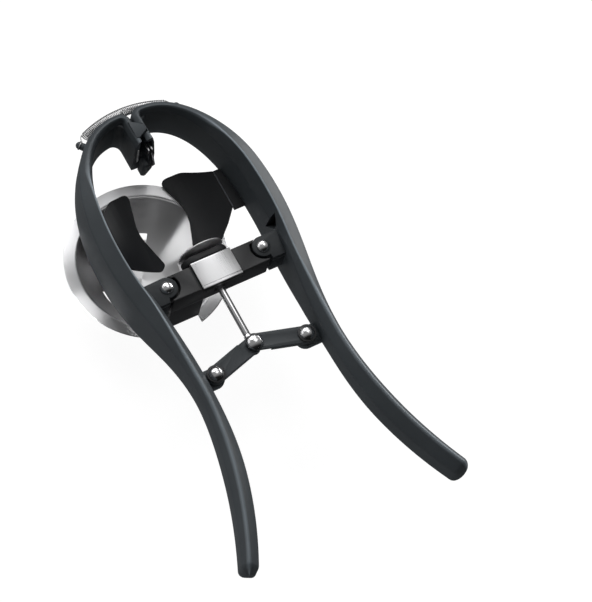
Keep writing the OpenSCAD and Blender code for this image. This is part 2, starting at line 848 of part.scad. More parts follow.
// Separator dish: a round bowl with a flat foot, a flange, drain slots and an upright tab
foot_z = -lift;
bowl_rise = (rim_r * rim_r - foot_d * foot_d / 4 - bowl_deep * bowl_deep) / (2 * bowl_deep);
bowl_r = norm([rim_r, bowl_rise]);
bowl_mid = flange_top + bowl_rise;
slot_first = 88;
slot_steps = 4;
module drain_slot() {
    translate([0, 0, flange_top - slot_deep - slot_tall]) linear_extrude(height = slot_tall)
        polygon(concat([[0, 0]], [for (i = [0 : slot_steps]) let (a = slot_arc * i / slot_steps)
            flange_d * [cos(a), sin(a)]]));
}

module bowl() {
    difference() {
        intersection() {
            translate([0, 0, bowl_mid]) sphere(r = bowl_r, $fn = 128);
            translate([0, 0, foot_z]) cylinder(r = flange_d, h = bowl_deep);
        }
        intersection() {
            translate([0, 0, bowl_mid]) sphere(r = bowl_r - dish_sheet, $fn = 128);
            translate([0, 0, foot_z + dish_sheet]) cylinder(r = flange_d, h = bowl_deep);
        }
        for (i = [0 : slot_count - 1]) rotate(slot_first + 360 * i / slot_count - slot_arc / 2) drain_slot();
    }
}

module flange() {
    gap_w = tab_w + 2 * tab_relief;
    difference() {
        translate([0, 0, flange_top - dish_sheet]) cylinder(d = flange_d, h = dish_sheet, $fn = 128);
        translate([0, 0, flange_top - dish_sheet - 1]) {
            cylinder(r = rim_r - dish_sheet / 2, h = dish_sheet + 2, $fn = 128);
            translate([-gap_w / 2, -flange_d, 0]) cube([gap_w, flange_d, dish_sheet + 2]);
        }
    }
}

tab_root = 5;
module separator_dish() {
    color([0.84, 0.85, 0.86]) in_place() union() {
        translate([clip_x, dish_ahead, 0]) {
            bowl();
            flange();
        }
        difference() {
            translate([clip_x - tab_w / 2, tab_y, flange_top - tab_root])
                cube([tab_w, dish_sheet, tab_root + tab_tall]);
            translate([clip_x, dish_ahead, bowl_mid]) difference() {
                sphere(r = bowl_r * 2);
                sphere(r = bowl_r - dish_sheet / 2, $fn = 128);
                translate([-flange_d, -flange_d, flange_top - bowl_mid]) cube(2 * flange_d);
            }
        }
    }
}

// Return spring: one wire wound round a bowed line, with straight ends that meet the pegs squarely
arc_half = coil_chord / 2;
arc_r = (arc_half * arc_half + coil_bow * coil_bow) / (2 * coil_bow);
arc_sweep = asin(arc_half / arc_r);
arc_y = spring_front - coil_d / 2 - arc_r;
wind_r = (coil_d - wire_d) / 2;
rings_per_turn = 8;
wind_count = coil_turns * rings_per_turn;
function arc_out(a) = [sin(a), cos(a), 0];
function wind_at(i) =
    let (
        share = i / wind_count,
        a = arc_sweep * (2 * share - 1),
        fade = min(1, min(i, wind_count - i) / (rings_per_turn / 2)),
        turn = 360 * i / rings_per_turn
    )
    [0, arc_y, -coil_deep + fade * wind_r * sin(turn)] + arc_out(a) * (arc_r + fade * wind_r * cos(turn));
peg_side = [peg_dir()[1], -peg_dir()[0]];
wire_from = [wind_at(wind_count)[0], wind_at(wind_count)[1]];
wire_run = (peg_foot - wire_from) * peg_side - peg_d / 2 - face_gap;
function wire_end(side, share) = [
    side * (wire_from[0] + peg_side[0] * wire_run * share),
    wire_from[1] + peg_side[1] * wire_run * share,
    -coil_deep
];
wire_line = concat(
    [wire_end(-1, 1), wire_end(-1, 0.4)],
    [for (i = [0 : wind_count]) wind_at(i)],
    [wire_end(1, 0.4), wire_end(1, 1)]
);
wire_last = len(wire_line) - 1;
wire_sides = 6;
function unit(v) = v / norm(v);
function wire_way(i) = i == 0 ? unit(wire_line[1] - wire_line[0])
    : i == wire_last ? unit(wire_line[i] - wire_line[i - 1])
    : unit(wire_line[i + 1] - wire_line[i - 1]);
function wire_ring(i) =
    let (
        t = wire_way(i),
        core = [0, arc_y, -coil_deep] + arc_r * unit([wire_line[i][0], wire_line[i][1] - arc_y, 0]),
        away = wire_line[i] - core + [0, 0, 0.001],
        u = unit(norm(away) > 0.2 ? away - t * (away * t) : [0, 0, 1] - t * t[2]),
        v = cross(t, u)
    )
    [for (k = [0 : wire_sides - 1]) let (a = 360 * k / wire_sides)
        wire_line[i] + wire_d / 2 * (u * cos(a) + v * sin(a))];
wire_gap = min([for (i = [rings_per_turn : wind_count - 2 * rings_per_turn]) for (k = [-3 : 3])
    norm(wind_at(i) - wind_at(i + rings_per_turn + k))]) - wire_d;
echo(spring_least_gap_mm = wire_gap);

module return_spring() {
    color([0.75, 0.75, 0.74]) in_place() skin_over([for (i = [wire_last : -1 : 0]) wire_ring(i)], wire_sides);
}

left_arm();
right_arm();
left_cradle();
right_cradle();
left_blade();
right_blade();
left_spring_peg();
right_spring_peg();
left_link_rivet();
right_link_rivet();
left_link_washer();
right_link_washer();
left_link();
right_link();
plunger_rod();
pusher_hub();
pusher_cup();
pusher_screw();
toggle_pin();
crossbar();
guide_bush();
guide_cover();
left_pivot_rivet();
right_pivot_rivet();
dish_clip();
clip_screws();
separator_dish();
return_spring();
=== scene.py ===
import math

import bmesh
import bpy
from mathutils import Euler, Matrix, Vector


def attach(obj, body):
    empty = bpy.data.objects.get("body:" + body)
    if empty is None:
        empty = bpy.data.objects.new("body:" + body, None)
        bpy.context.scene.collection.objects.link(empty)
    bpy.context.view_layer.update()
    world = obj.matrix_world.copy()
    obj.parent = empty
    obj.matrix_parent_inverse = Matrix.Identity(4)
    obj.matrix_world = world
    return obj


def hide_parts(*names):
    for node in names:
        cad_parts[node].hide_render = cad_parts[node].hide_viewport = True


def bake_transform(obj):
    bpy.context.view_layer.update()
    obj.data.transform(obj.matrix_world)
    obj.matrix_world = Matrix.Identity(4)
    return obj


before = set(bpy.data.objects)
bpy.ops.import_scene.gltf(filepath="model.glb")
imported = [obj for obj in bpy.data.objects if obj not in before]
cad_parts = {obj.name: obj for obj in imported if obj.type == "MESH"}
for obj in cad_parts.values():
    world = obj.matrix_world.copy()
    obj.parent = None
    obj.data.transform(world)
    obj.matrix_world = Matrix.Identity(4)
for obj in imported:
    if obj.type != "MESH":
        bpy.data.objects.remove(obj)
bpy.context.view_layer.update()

bl_info = {
    "name": "Egg Cracker",
    "version": (1, 0, 0),
    "blender": (4, 5, 0),
    "location": "3D View > Sidebar > Egg Cracker",
    "description": "Dresses a hand-held egg cracker with sprung arms, a toggle plunger and a separator dish",
    "category": "Object",
}

# Sizes are in millimetres from the middle of the line through the two arm pivots
MM = 0.001
PIVOT_SPOT = Vector((0, 20, 56))
SIDES = ("left", "right")

# Arms
PIVOT_X = 24.2
HANDLE_REACH = 131.5
TIP_X = 53.7
WAIST_X = 32.3
WAIST_BACK = 48
SIDE_X = 39.1
LOOP_AHEAD = 22
FRONT_REACH = 82.8
FRONT_WALL = 4.6
SIDE_WALL = 9.6
WAIST_WALL = 7.4
GRIP_WALL = 9.3
TIP_WALL = 8
CREST_HIGH = 6
CREST_FRONT = 0.5
CREST_FROM = 40
LOOP_DEEP = 25
HANDLE_DEEP = 10
FLOOR_FROM = 14
FLOOR_TO = -58
JAW_GAP = 0.3
JAW_X = (JAW_GAP + FRONT_WALL) / 2
CURL_R = 3.1
LOOP_X = JAW_X + CURL_R
LOOP_W = SIDE_X - LOOP_X
LOOP_H = FRONT_REACH - LOOP_AHEAD
LOOP_FULL = 2.2
BEAK_Y = 66.8
LEAN = {"left": 0.4, "right": 5}
NOTCH_LOW = -12
JAW_FILLET = 3.6
LAP_LOW = -4
LAP_TOP = 1.3
LAP_X = 2.9
LAP_CLEAR = 0.35
RIB_Z = -6.2
RIB_HALF = 0.35
# Stations on each stretch of an arm
STATIONS = {"tip": 14, "grip": 40, "blend": 30, "loop": 64, "curl": 14, "jaw": 4}
# Points of an arm's section that round its ridge
RIDGE_POINTS = range(12, 17)

# Cradles
FOLD_X = 28.7
FOLD_FROM = 30.5
FOLD_TO = 49.5
FOLD_Z = -22.7

# Crossbar, links and plunger
BAR_FRONT = 4.6
BAR_REAR = 7
BAR_TOP = -1
BAR_LOW = -15
BAR_ROUND = 5.5
SWING = 13
COVER_X = 9.8
COVER_SHEET = 1
COVER_LIP = 2.8
COVER_DROP = 12
TONGUE_R = 5
TONGUE_LOW = -5
TONGUE_WALL = SIDE_X - SIDE_WALL / 4
TONGUE_REAR = PIVOT_X + BAR_REAR * math.tan(math.radians(SWING))
PIVOT_HOLE = 2.05
LINK_X = 22.8
LINK_BACK = 44.3
LINK_TOP = -4
LUG_TOP = -7.1
LUG_LOW = -11.1
LUG_R = 4.6
TOGGLE_BACK = 37.9
ROD_Z = -9.1
ROD_R = 1.6
EYE_R = 3.5
CUP_Y = 9.8
CUP_R = 10.8
CUP_DEEP = 1.8
CUP_SHEET = 0.8

# Spring and pegs
COIL_Z = -10.8
ARC_Y = 37.6
ARC_R = 51
ARC_SWEEP = math.radians(23.7)
PEG_FOOT = Vector((21.8, 78.39, COIL_Z))
PEG_WAY = Vector((0.662, 0.749, 0)).normalized()
PEG_ACROSS = Vector((PEG_WAY.y, -PEG_WAY.x, 0))
PEG_R = 1.75
PEG_OUT = 6
PEG_NECK = 4.1
PEG_GROOVE = 0.16

# Rivets and screws, with the widths of head, shank and tail
RIVET_PARTS = ("Head", "Shank", "Tail")
RIVET_SIZES = ("Width", "Height")
PIVOT_RIVET = (6.3, 4, 5.9)
LINK_RIVET = (6.8, 3.2, 6.2)
TOGGLE_RIVET = (7.8, 3, 7.2)
CLIP_SCREW = (5.4, 2.9, 2.9)
CUP_SCREW = (4, 2, 2)

# Dish
DISH_X = -15.8
DISH_Y = 26.8
FLANGE_R = 38
RIM_R = 33
FLANGE_TOP = -33.5
FOOT_LOW = -56
FOOT_R = 10
DISH_SHEET = 0.8
TAB_Y = -4.6
TAB_W = 14
TAB_HIGH = -20.5
TAB_ROOM = 1.5
SLOT_TOP = -49.5
SLOT_TALL = 2.4
SLOT_INNER = 14
# Degrees that a drain slot takes, and where the middle of the first one is
SLOT_ARC = 60
SLOT_FIRST = 88


# Shapes
def spot(x, y, z):
    """A place in the frame, in metres."""
    return (Vector((x, y, z)) + PIVOT_SPOT) * MM


def from_side(y, z, x):
    """A place on a side view, at a distance across."""
    return spot(x, y, z)


def from_front(x, z, y):
    """A place on a front view, at a distance ahead."""
    return spot(x, y, z)


def round_rod(u, v, y):
    """A place round the rod's axis, at a distance ahead."""
    return spot(u, y, ROD_Z + v)


def ease(value, begin=0, end=1):
    """Soft step from 0 where a value begins to 1 where it ends."""
    share = min(1, max(0, (value - begin) / (end - begin)))
    return (1 - math.cos(math.pi * share)) / 2


def soft_outline(corners, steps=4):
    """A closed outline through (u, v, radius) corners; a corner with no radius stays one point."""
    points = []
    # Share of an edge that one rounding may take
    most = 0.48
    for i, (u, v, radius) in enumerate(corners):
        here = Vector((u, v))
        if radius <= 0:
            points.append(here)
            continue
        back = Vector(corners[i - 1][:2]) - here
        ahead = Vector(corners[(i + 1) % len(corners)][:2]) - here
        reach = radius / math.tan(back.angle(ahead) / 2)
        reach = min(reach, most * back.length, most * ahead.length)
        start = here + back.normalized() * reach
        end = here + ahead.normalized() * reach
        for k in range(steps + 1):
            t = k / steps
            points.append(start * (1 - t) ** 2 + here * (2 * t * (1 - t)) + end * t ** 2)
    return points


def rectangle(x, y, far_x, far_y):
    """A four-cornered outline between two opposite corners."""
    return [(x, y), (far_x, y), (far_x, far_y), (x, far_y)]


def arc(x, y, radius, begin, end, steps):
    """Points on part of a circle, between two angles in degrees."""
    turns = [math.radians(begin + (end - begin) * k / steps) for k in range(steps + 1)]
    return [Vector((x + radius * math.cos(a), y + radius * math.sin(a))) for a in turns]


def bow(radius, middle, begin, end, steps):
    """Points of a turned profile on part of a circle round its axis, between two angles."""
    turns = [begin + (end - begin) * k / steps for k in range(steps + 1)]
    return [(radius * math.cos(a), middle + radius * math.sin(a)) for a in turns]


def skin(rings):
    """A closed mesh over rings of points in metres."""
    mesh = bmesh.new()
    rows = [[mesh.verts.new(p) for p in ring] for ring in rings]
    for one, two in zip(rows, rows[1:]):
        for k in range(len(one)):
            n = (k + 1) % len(one)
            mesh.faces.new((one[k], one[n], two[n], two[k]))
    mesh.faces.new(rows[0])
    mesh.faces.new(rows[-1])
    bmesh.ops.recalc_face_normals(mesh, faces=mesh.faces)
    return mesh


def soften(mesh, edges, width, segments=2):
    """Rounds edges by a width in millimetres."""
    bmesh.ops.bevel(
        mesh, geom=list(edges), offset=width * MM, offset_type="OFFSET", segments=segments,
        profile=0.5, affect="EDGES", clamp_overlap=True,
    )
    return mesh


def prism(outline, low, high, width, place=spot):
    """A closed solid over a flat outline, with its end edges rounded."""
    mesh = bmesh.new()
    rows = [[mesh.verts.new(place(u, v, w)) for u, v in outline] for w in (low, high)]
    caps = [mesh.faces.new(row) for row in rows]
    for k in range(len(outline)):
        n = (k + 1) % len(outline)
        mesh.faces.new((rows[0][k], rows[0][n], rows[1][n], rows[1][k]))
    bmesh.ops.recalc_face_normals(mesh, faces=mesh.faces)
    if width > 0:
        soften(mesh, {e for cap in caps for e in cap.edges}, width)
    return mesh


def turned(profile, sides, place):
    """A solid turned round an axis from (radius, height) points; place gives the spot of (x, y, height)."""
    mesh = bmesh.new()
    rows = []
    for radius, height in profile:
        count = sides if radius > 0 else 1
        turns = [2 * math.pi * k / sides for k in range(count)]
        ring = [(radius * math.cos(a), radius * math.sin(a)) for a in turns]
        rows.append([mesh.verts.new(place(u, v, height)) for u, v in ring])
    for one, two in zip(rows, rows[1:]):
        for k in range(sides):
            n = (k + 1) % sides
            around = (one[k % len(one)], one[n % len(one)], two[n % len(two)], two[k % len(two)])
            mesh.faces.new(dict.fromkeys(around))
    bmesh.ops.recalc_face_normals(mesh, faces=mesh.faces)
    return mesh


def tube(points, radius, sides):
    """A round wire along points in metres, with a radius in millimetres."""
    rings = []
    side = Vector((0, 0, 1))
    for i, here in enumerate(points):
        way = (points[min(i + 1, len(points) - 1)] - points[max(i - 1, 0)]).normalized()
        side = (side - way * side.dot(way)).normalized()
        other = way.cross(side)
        turns = [2 * math.pi * k / sides for k in range(sides)]
        rings.append([here + (side * math.cos(a) + other * math.sin(a)) * radius * MM for a in turns])
    return skin(rings)


def rounded_copy(node, width, segments=2):
    """A copy of a solid with its sharp edges rounded."""
    mesh = bmesh.new()
    mesh.from_mesh(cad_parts[node].data)
    weld = 0.001 * MM
    flat = math.radians(1)
    keen = math.radians(30)
    bmesh.ops.remove_doubles(mesh, verts=mesh.verts, dist=weld)
    bmesh.ops.dissolve_limit(mesh, angle_limit=flat, verts=mesh.verts, edges=mesh.edges)
    sharp = [e for e in mesh.edges if len(e.link_faces) == 2 and e.calc_face_angle() > keen]
    return soften(mesh, sharp, width, segments)


def joined(*meshes):
    """Several meshes as one."""
    whole = bmesh.new()
    for mesh in meshes:
        part = bpy.data.meshes.new("part")
        mesh.to_mesh(part)
        mesh.free()
        whole.from_mesh(part)
        bpy.data.meshes.remove(part)
    return whole


def flipped(mesh):
    """The same shape on the other side of the middle."""
    bmesh.ops.transform(mesh, matrix=Matrix.Scale(-1, 4, (1, 0, 0)), verts=mesh.verts)
    bmesh.ops.reverse_faces(mesh, faces=mesh.faces)
    return mesh


def marked(mesh, name):
    """The mesh with a value of 1 stored under a name on all its points."""
    layer = mesh.verts.layers.float.new(name)
    for point in mesh.verts:
        point[layer] = 1
    return mesh


def on_side(side, mesh):
    """The shape as it is on the right, or flipped for the left."""
    return mesh if side == "right" else flipped(mesh)


# Pieces
def loose(name, mesh):
    """An object for a mesh, at the origin."""
    data = bpy.data.meshes.new(name)
    mesh.to_mesh(data)
    mesh.free()
    piece = bpy.data.objects.new(name, data)
    bpy.context.scene.collection.objects.link(piece)
    return piece


def settled(piece):
    """The piece with its modifiers made part of its mesh."""
    graph = bpy.context.evaluated_depsgraph_get()
    shape = piece.evaluated_get(graph)
    data = bpy.data.meshes.new_from_object(shape, preserve_all_data_layers=True, depsgraph=graph)
    piece.modifiers.clear()
    old = piece.data
    piece.data = data
    bpy.data.meshes.remove(old)
    return piece


def carved(piece, cutter):
    """The piece less a closed mesh."""
    tool = loose("cutter", cutter)
    cut = piece.modifiers.new("Carve", "BOOLEAN")
    cut.operation = "DIFFERENCE"
    cut.solver = "EXACT"
    cut.object = tool
    settled(piece)
    bpy.data.objects.remove(tool)
    return piece


def grafted(piece, *meshes):
    """The piece with more meshes joined to it, all facing outwards."""
    own = bmesh.new()
    own.from_mesh(piece.data)
    whole = joined(own, *meshes)
    bmesh.ops.recalc_face_normals(whole, faces=whole.faces)
    whole.to_mesh(piece.data)
    whole.free()
    return piece


def finish_piece(piece, body, nodes, finish, angle=32):
    """Shades a piece, gives it a named finish and puts it on its body in place of its solids."""
    data = piece.data
    if not data.polygons:
        raise RuntimeError(piece.name + " has no faces")
    data.shade_smooth()
    data.set_sharp_from_angle(angle=math.radians(angle))
    data.materials.clear()
    data.materials.append(finish_named(finish))
    if nodes:
        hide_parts(*nodes)
    if body:
        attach(piece, body)
    return piece


def copied(name, node, width, body, finish, segments=2):
    """A piece that is one solid with its edges rounded."""
    piece = loose(name, rounded_copy(node, width, segments))
    return finish_piece(piece, body, [node], finish)


# Node trees
def math_node(operation, swapped=False):
    """A method that adds one Math node, with its two numbers swapped for a reflected form."""
    def method(self, other=0.0):
        first, second = (other, self) if swapped else (self, other)
        return self.tree.number("ShaderNodeMath", {0: first, 1: second}, operation=operation)
    return method


class Number:
    """A number in a node tree; sums on it add Math nodes."""

    def __init__(self, tree, socket):
        self.tree = tree
        self.socket = socket

    __add__ = math_node("ADD")
    __radd__ = math_node("ADD", True)
    __sub__ = math_node("SUBTRACT")
    __rsub__ = math_node("SUBTRACT", True)
    __mul__ = math_node("MULTIPLY")
    __rmul__ = math_node("MULTIPLY", True)
    __truediv__ = math_node("DIVIDE")
    __rtruediv__ = math_node("DIVIDE", True)
    __pow__ = math_node("POWER")
    __rpow__ = math_node("POWER", True)
    at_least = math_node("MAXIMUM")
    at_most = math_node("MINIMUM")
    over = math_node("GREATER_THAN")
    sine = math_node("SINE")
    cosine = math_node("COSINE")
    arcsine = math_node("ARCSINE")


class Tree:
    """A node tree with one way to add any node."""

    def __init__(self, tree):
        self.tree = tree

    def add(self, kind, sockets=None, **settings):
        """Adds a node, sets it up, then fills or links its sockets."""
        node = self.tree.nodes.new(kind)
        for name, value in settings.items():
            setattr(node, name, value)
        for key, value in (sockets or {}).items():
            source = getattr(value, "socket", value)
            if isinstance(source, bpy.types.NodeSocket):
                self.tree.links.new(source, node.inputs[key])
            else:
                node.inputs[key].default_value = source
        return node

    def number(self, kind, sockets=None, output=0, **settings):
        """A node's number output."""
        return Number(self, self.add(kind, sockets, **settings).outputs[output])

    def colours(self, share, first, second):
        """Two colours mixed by a share."""
        return self.add("ShaderNodeMix", {0: share, 6: first, 7: second}, data_type="RGBA").outputs[2]

    def places(self):
        """Where a point is on its piece, in metres."""
        return self.add("ShaderNodeTexCoord").outputs["Object"]

    def stretched(self, scale):
        """Places stretched by a scale on each axis."""
        return self.add("ShaderNodeMapping", {"Vector": self.places(), "Scale": scale}).outputs[0]

    def noise(self, places, scale, detail=2.0):
        """Soft random values over a surface."""
        return self.number("ShaderNodeTexNoise", {"Vector": places, "Scale": scale, "Detail": detail})

    def attribute(self, name):
        """A piece's own values, stored on its points."""
        return self.number("ShaderNodeAttribute", None, "Fac", attribute_name=name)

    def bump(self, height, strength, depth):
        """A normal raised by a height, with a depth in millimetres."""
        sockets = {"Height": height, "Strength": strength, "Distance": depth * MM}
        return self.add("ShaderNodeBump", sockets).outputs[0]

    def vector(self, x=0.0, y=0.0, z=0.0):
        """Three numbers as one vector."""
        return self.add("ShaderNodeCombineXYZ", {0: x, 1: y, 2: z}).outputs[0]

    def swept(self, count, place, sides, radius, scale=1.0):
        """A round bar along a line of points that are moved to a place."""
        line = self.add("GeometryNodeMeshLine", {"Count": count})
        curve = self.add("GeometryNodeMeshToCurve", {0: line.outputs[0]})
        moved = self.add("GeometryNodeSetPosition", {"Geometry": curve.outputs[0], "Position": place})
        ring = self.add("GeometryNodeCurvePrimitiveCircle", {"Resolution": sides, "Radius": radius})
        bar = {0: moved.outputs[0], 1: ring.outputs[0], "Scale": scale, "Fill Caps": True}
        return self.add("GeometryNodeCurveToMesh", bar).outputs[0]


def new_finish(name, build):
    """A material whose surface is filled by a function of its tree, made once."""
    made = bpy.data.materials.get(name)
    if made:
        return made
    made = bpy.data.materials.new(name)
    made.use_nodes = True
    made.node_tree.nodes.clear()
    tree = Tree(made.node_tree)
    surface = tree.add("ShaderNodeBsdfPrincipled", build(tree))
    tree.add("ShaderNodeOutputMaterial", {"Surface": surface.outputs[0]})
    return made


# Finishes
WHITE = (1.0, 1.0, 1.0, 1.0)


def shaded(colour, factor):
    """A colour made lighter or darker."""
    return tuple(min(1, c * factor) for c in colour[:3]) + (1.0,)


def moulded_plastic(name, colour, rough, gloss):
    """Satin moulded plastic with a fine grain, soft mottling, a painted highlight along the ridges and
    painted shade on the parts marked for it.
    """
    def build(tree):
        grain = tree.noise(tree.places(), 2600.0)
        cloud = tree.noise(tree.places(), 70.0, 3.0)
        # Painted highlight: points near a ridge are painted far paler, for the light that a sharp ridge
        # catches
        painted_highlight = tree.attribute("ridge") * (0.55 + 0.45 * cloud)
        body = tree.colours(cloud, shaded(colour, 0.86), shaded(colour, 1.16))
        # Painted shade: parts marked for it are painted at half their colour
        body = tree.colours(tree.attribute("dull"), body, shaded(colour, 0.5))
        return {
            "Base Color": tree.colours(painted_highlight, body, shaded(colour, 8)),
            "Roughness": rough - 0.05 + 0.1 * cloud + 0.04 * grain,
            "Specular IOR Level": gloss,
            "Normal": tree.bump(grain, 0.12, 0.05),
        }
    return new_finish(name, build)


def brushed_steel(name, colour, rough, scale):
    """Rolled sheet or wire with fine streaks along one axis."""
    def build(tree):
        streak = tree.noise(tree.stretched(scale), 1.0, 3.0)
        cloud = tree.noise(tree.places(), 60.0)
        return {
            "Base Color": tree.colours(streak, shaded(colour, 0.96), shaded(colour, 1.04)),
            "Metallic": 1.0,
            "Roughness": rough - 0.03 + 0.06 * streak + 0.04 * cloud,
            "Normal": tree.bump(streak, 0.01, 0.01),
        }
    return new_finish(name, build)


def polished_steel(name, colour, rough):
    """Bright turned steel with faint handling marks."""
    def build(tree):
        cloud = tree.noise(tree.places(), 240.0, 3.0)
        marks = tree.noise(tree.stretched((2500, 2500, 400)), 1.0, 2.0)
        return {
            "Base Color": tree.colours(cloud, shaded(colour, 0.94), shaded(colour, 1.05)),
            "Metallic": 1.0,
            "Roughness": rough + 0.06 * cloud * cloud + 0.03 * marks,
            "Normal": tree.bump(marks, 0.03, 0.01),
        }
    return new_finish(name, build)


def spun_steel(name, colour, rough):
    """Pressed bowl steel, spun in rings that streak the light, with a rougher flange and outside; the flange
    and outside are painted paler and the bowl's inside darker, as painted light.
    """
    def build(tree):
        ball, height = dish_ball()
        middle = spot(DISH_X, DISH_Y, height)
        axes = tree.add("ShaderNodeSeparateXYZ", {0: tree.places()})
        x = Number(tree, axes.outputs[0]) - middle.x
        y = Number(tree, axes.outputs[1]) - middle.y
        z = Number(tree, axes.outputs[2]) - middle.z
        away = (x * x + y * y) ** 0.5
        shell = (away * away + z * z) ** 0.5
        ring = tree.number("ShaderNodeTexNoise", {"W": away * 2600, "Detail": 3.0}, noise_dimensions="1D")
        cloud = tree.noise(tree.places(), 45.0)
        flange = away.over(RIM_R * MM)
        outside = shell.over((ball - DISH_SHEET / 2) * MM) * (1 - flange)
        # Painted light: the flange is painted paler and the bowl's inside darker, for how bright each looks
        # under the lamps; the outside is painted paler on top of its real rougher, less metallic finish; the
        # cloud gives random tone
        pale = 0.25 + 0.6 * flange + 0.3 * outside + 0.15 * cloud
        return {
            "Base Color": tree.colours(pale, shaded(colour, 0.4), shaded(colour, 1.12)),
            "Metallic": 1 - 0.5 * outside,
            "Roughness": rough + 0.11 * flange + 0.07 * outside + 0.05 * ring + 0.05 * cloud,
            "Anisotropic": 1.0,
            "Anisotropic Rotation": 0.25,
        }
    return new_finish(name, build)


# Each finish has a surface, a colour, how light that is, a roughness and what else the surface takes
FINISHES = {
    "Slate plastic": (moulded_plastic, "arm", 1, 0.42, 0.2),
    "Black plastic": (moulded_plastic, "bar", 1, 0.45, 0.32),
    "Link plastic": (moulded_plastic, "arm", 0.9, 0.45, 0.3),
    "Dark cradle plastic": (moulded_plastic, "cradle", 1, 0.4, 0.16),
    "Polished steel": (polished_steel, "steel", 1, 0.18),
    "Satin sheet steel": (brushed_steel, "steel", 0.56, 0.26, (2400, 60, 60)),
    "Spring wire": (brushed_steel, "steel", 0.58, 0.36, (900, 900, 900)),
    "Satin cup steel": (brushed_steel, "steel", 1.1, 0.45, (60, 60, 2400)),
    "Spun dish steel": (spun_steel, "steel", 1, 0.27),
    "Grey bush metal": (brushed_steel, "bush", 1, 0.36, (300, 2600, 300)),
}


def finish_named(name):
    """A finish in the scene's own colours."""
    surface, colour, factor, *values = FINISHES[name]
    tint = getattr(bpy.context.scene.cracker_colours, colour)
    return surface(name, shaded(tint, factor), *values)


# Arms
def floor_z(y):
    """Height of an arm's underside."""
    return -LOOP_DEEP + (LOOP_DEEP - HANDLE_DEEP) * ease(y, FLOOR_FROM, FLOOR_TO)


def crest_z(y):
    """Height of an arm's ridge."""
    return CREST_HIGH + (CREST_FRONT - CREST_HIGH) * ease(y, CREST_FROM, FRONT_REACH)


def grip_at(u, fill):
    """Station on a handle, from the waist at 0 to the tip at 1: x, y, thickness, fullness."""
    if u < 0.5:
        thick = WAIST_WALL + (GRIP_WALL - WAIST_WALL) * ease(2 * u)
    else:
        thick = GRIP_WALL + (TIP_WALL - GRIP_WALL) * (2 * u - 1) ** 2
    x = WAIST_X + (TIP_X - WAIST_X) * u * u
    y = -WAIST_BACK - (HANDLE_REACH - WAIST_BACK) * u
    return (x, y, thick * fill, fill)


def blend_at(u):
    """Station between the waist at 0 and the loop's side at 1."""
    y = -WAIST_BACK + (LOOP_AHEAD + WAIST_BACK) * u
    return (WAIST_X + (SIDE_X - WAIST_X) * ease(u), y, WAIST_WALL + (SIDE_WALL - WAIST_WALL) * ease(u), 1)


def loop_at(a):
    """Station round the loop, from its side at 0 to its front at a quarter turn."""
    thick = FRONT_WALL + (SIDE_WALL - FRONT_WALL) * math.cos(a) ** 3
    across = math.cos(a) ** (2 / LOOP_FULL)
    ahead = math.sin(a) ** (2 / LOOP_FULL)
    return (LOOP_X + LOOP_W * across, LOOP_AHEAD + LOOP_H * ahead, thick, 1)


def curl_at(a):
    """Station on the curl from the front of the loop into the beak."""
    return (LOOP_X - CURL_R * math.sin(a), FRONT_REACH - CURL_R + CURL_R * math.cos(a), FRONT_WALL, 1)


def arm_line():
    """Stations of an arm from the handle's tip to the beak."""
    quarter = math.pi / 2
    speed = Vector((2 * (TIP_X - WAIST_X), HANDLE_REACH - WAIST_BACK)).length
    reach = TIP_WALL / 2 / speed
    jaw = BEAK_Y - FRONT_REACH + CURL_R
    tips, grips, blends, loops, curls, jaws = STATIONS.values()
    line = []
    for k in range(1, tips):
        a = quarter * k / tips
        line.append(grip_at(1 - reach * (1 - math.cos(a)), math.sin(a)))
    line += [grip_at((1 - reach) * (1 - k / grips), 1) for k in range(grips)]
    line += [blend_at(k / blends) for k in range(blends)]
    line += [loop_at(quarter * k / loops) for k in range(loops)]
    line += [curl_at(quarter * k / curls) for k in range(curls + 1)]
    line += [(JAW_X, FRONT_REACH - CURL_R + jaw * k / jaws, FRONT_WALL, 1) for k in range(1, jaws + 1)]
    return line


def arm_section(low, high, thick, y, ridge):
    """Section of an arm: (offset outwards, height) points from the inner foot round over the ridge."""
    tall = high - low
    soft = min(1, thick / 5)
    # How much of the handle, the loop's front and its leaning side a station has
    grip = 1 - ease(y, -45, 0)
    front = ease(y, 45, 80)
    lean = ease(y, -8, 18) * (1 - front)
    inner = min(3, 0.4 * thick) + 2.4 * soft * (grip + front) + 8 * lean
    outer = 0.5 * thick
    peak = 0.37 * grip + 0.1 * front - 0.25
    ridge_r = ridge + 0.9 * grip + 2.4 * ease(y, 52, 77)
    return soft_outline([
        (-0.5 * thick, low, (1.1 + 1.9 * grip) * soft),
        (-0.5 * thick, low + 0.23 * tall, 0),
        (-0.5 * thick, low + 0.5 * tall, 0),
        (-0.5 * thick, high - inner, (1.5 + 2 * grip) * soft),
        (peak * thick, high, ridge_r * soft),
        (0.46 * thick, high - outer, (2.4 + 1.2 * grip) * soft),
        (0.5 * thick, low + 0.55 * tall, 0),
        (0.5 * thick, low + 0.23 * tall, 0),
        (0.44 * thick, low, (1.6 + 1.6 * grip) * soft),
    ])


def beak_end(x, z, lean):
    """How far back a jaw's end reaches at a place across it."""
    share = min(1, max(0, (-CREST_HIGH - z) / (0.75 * LOOP_DEEP - CREST_HIGH)))
    cut = BEAK_Y - lean + (x - JAW_GAP / 2) / (FRONT_WALL + 1) * 0.55 * lean
    return max(BEAK_Y - lean * share, cut)


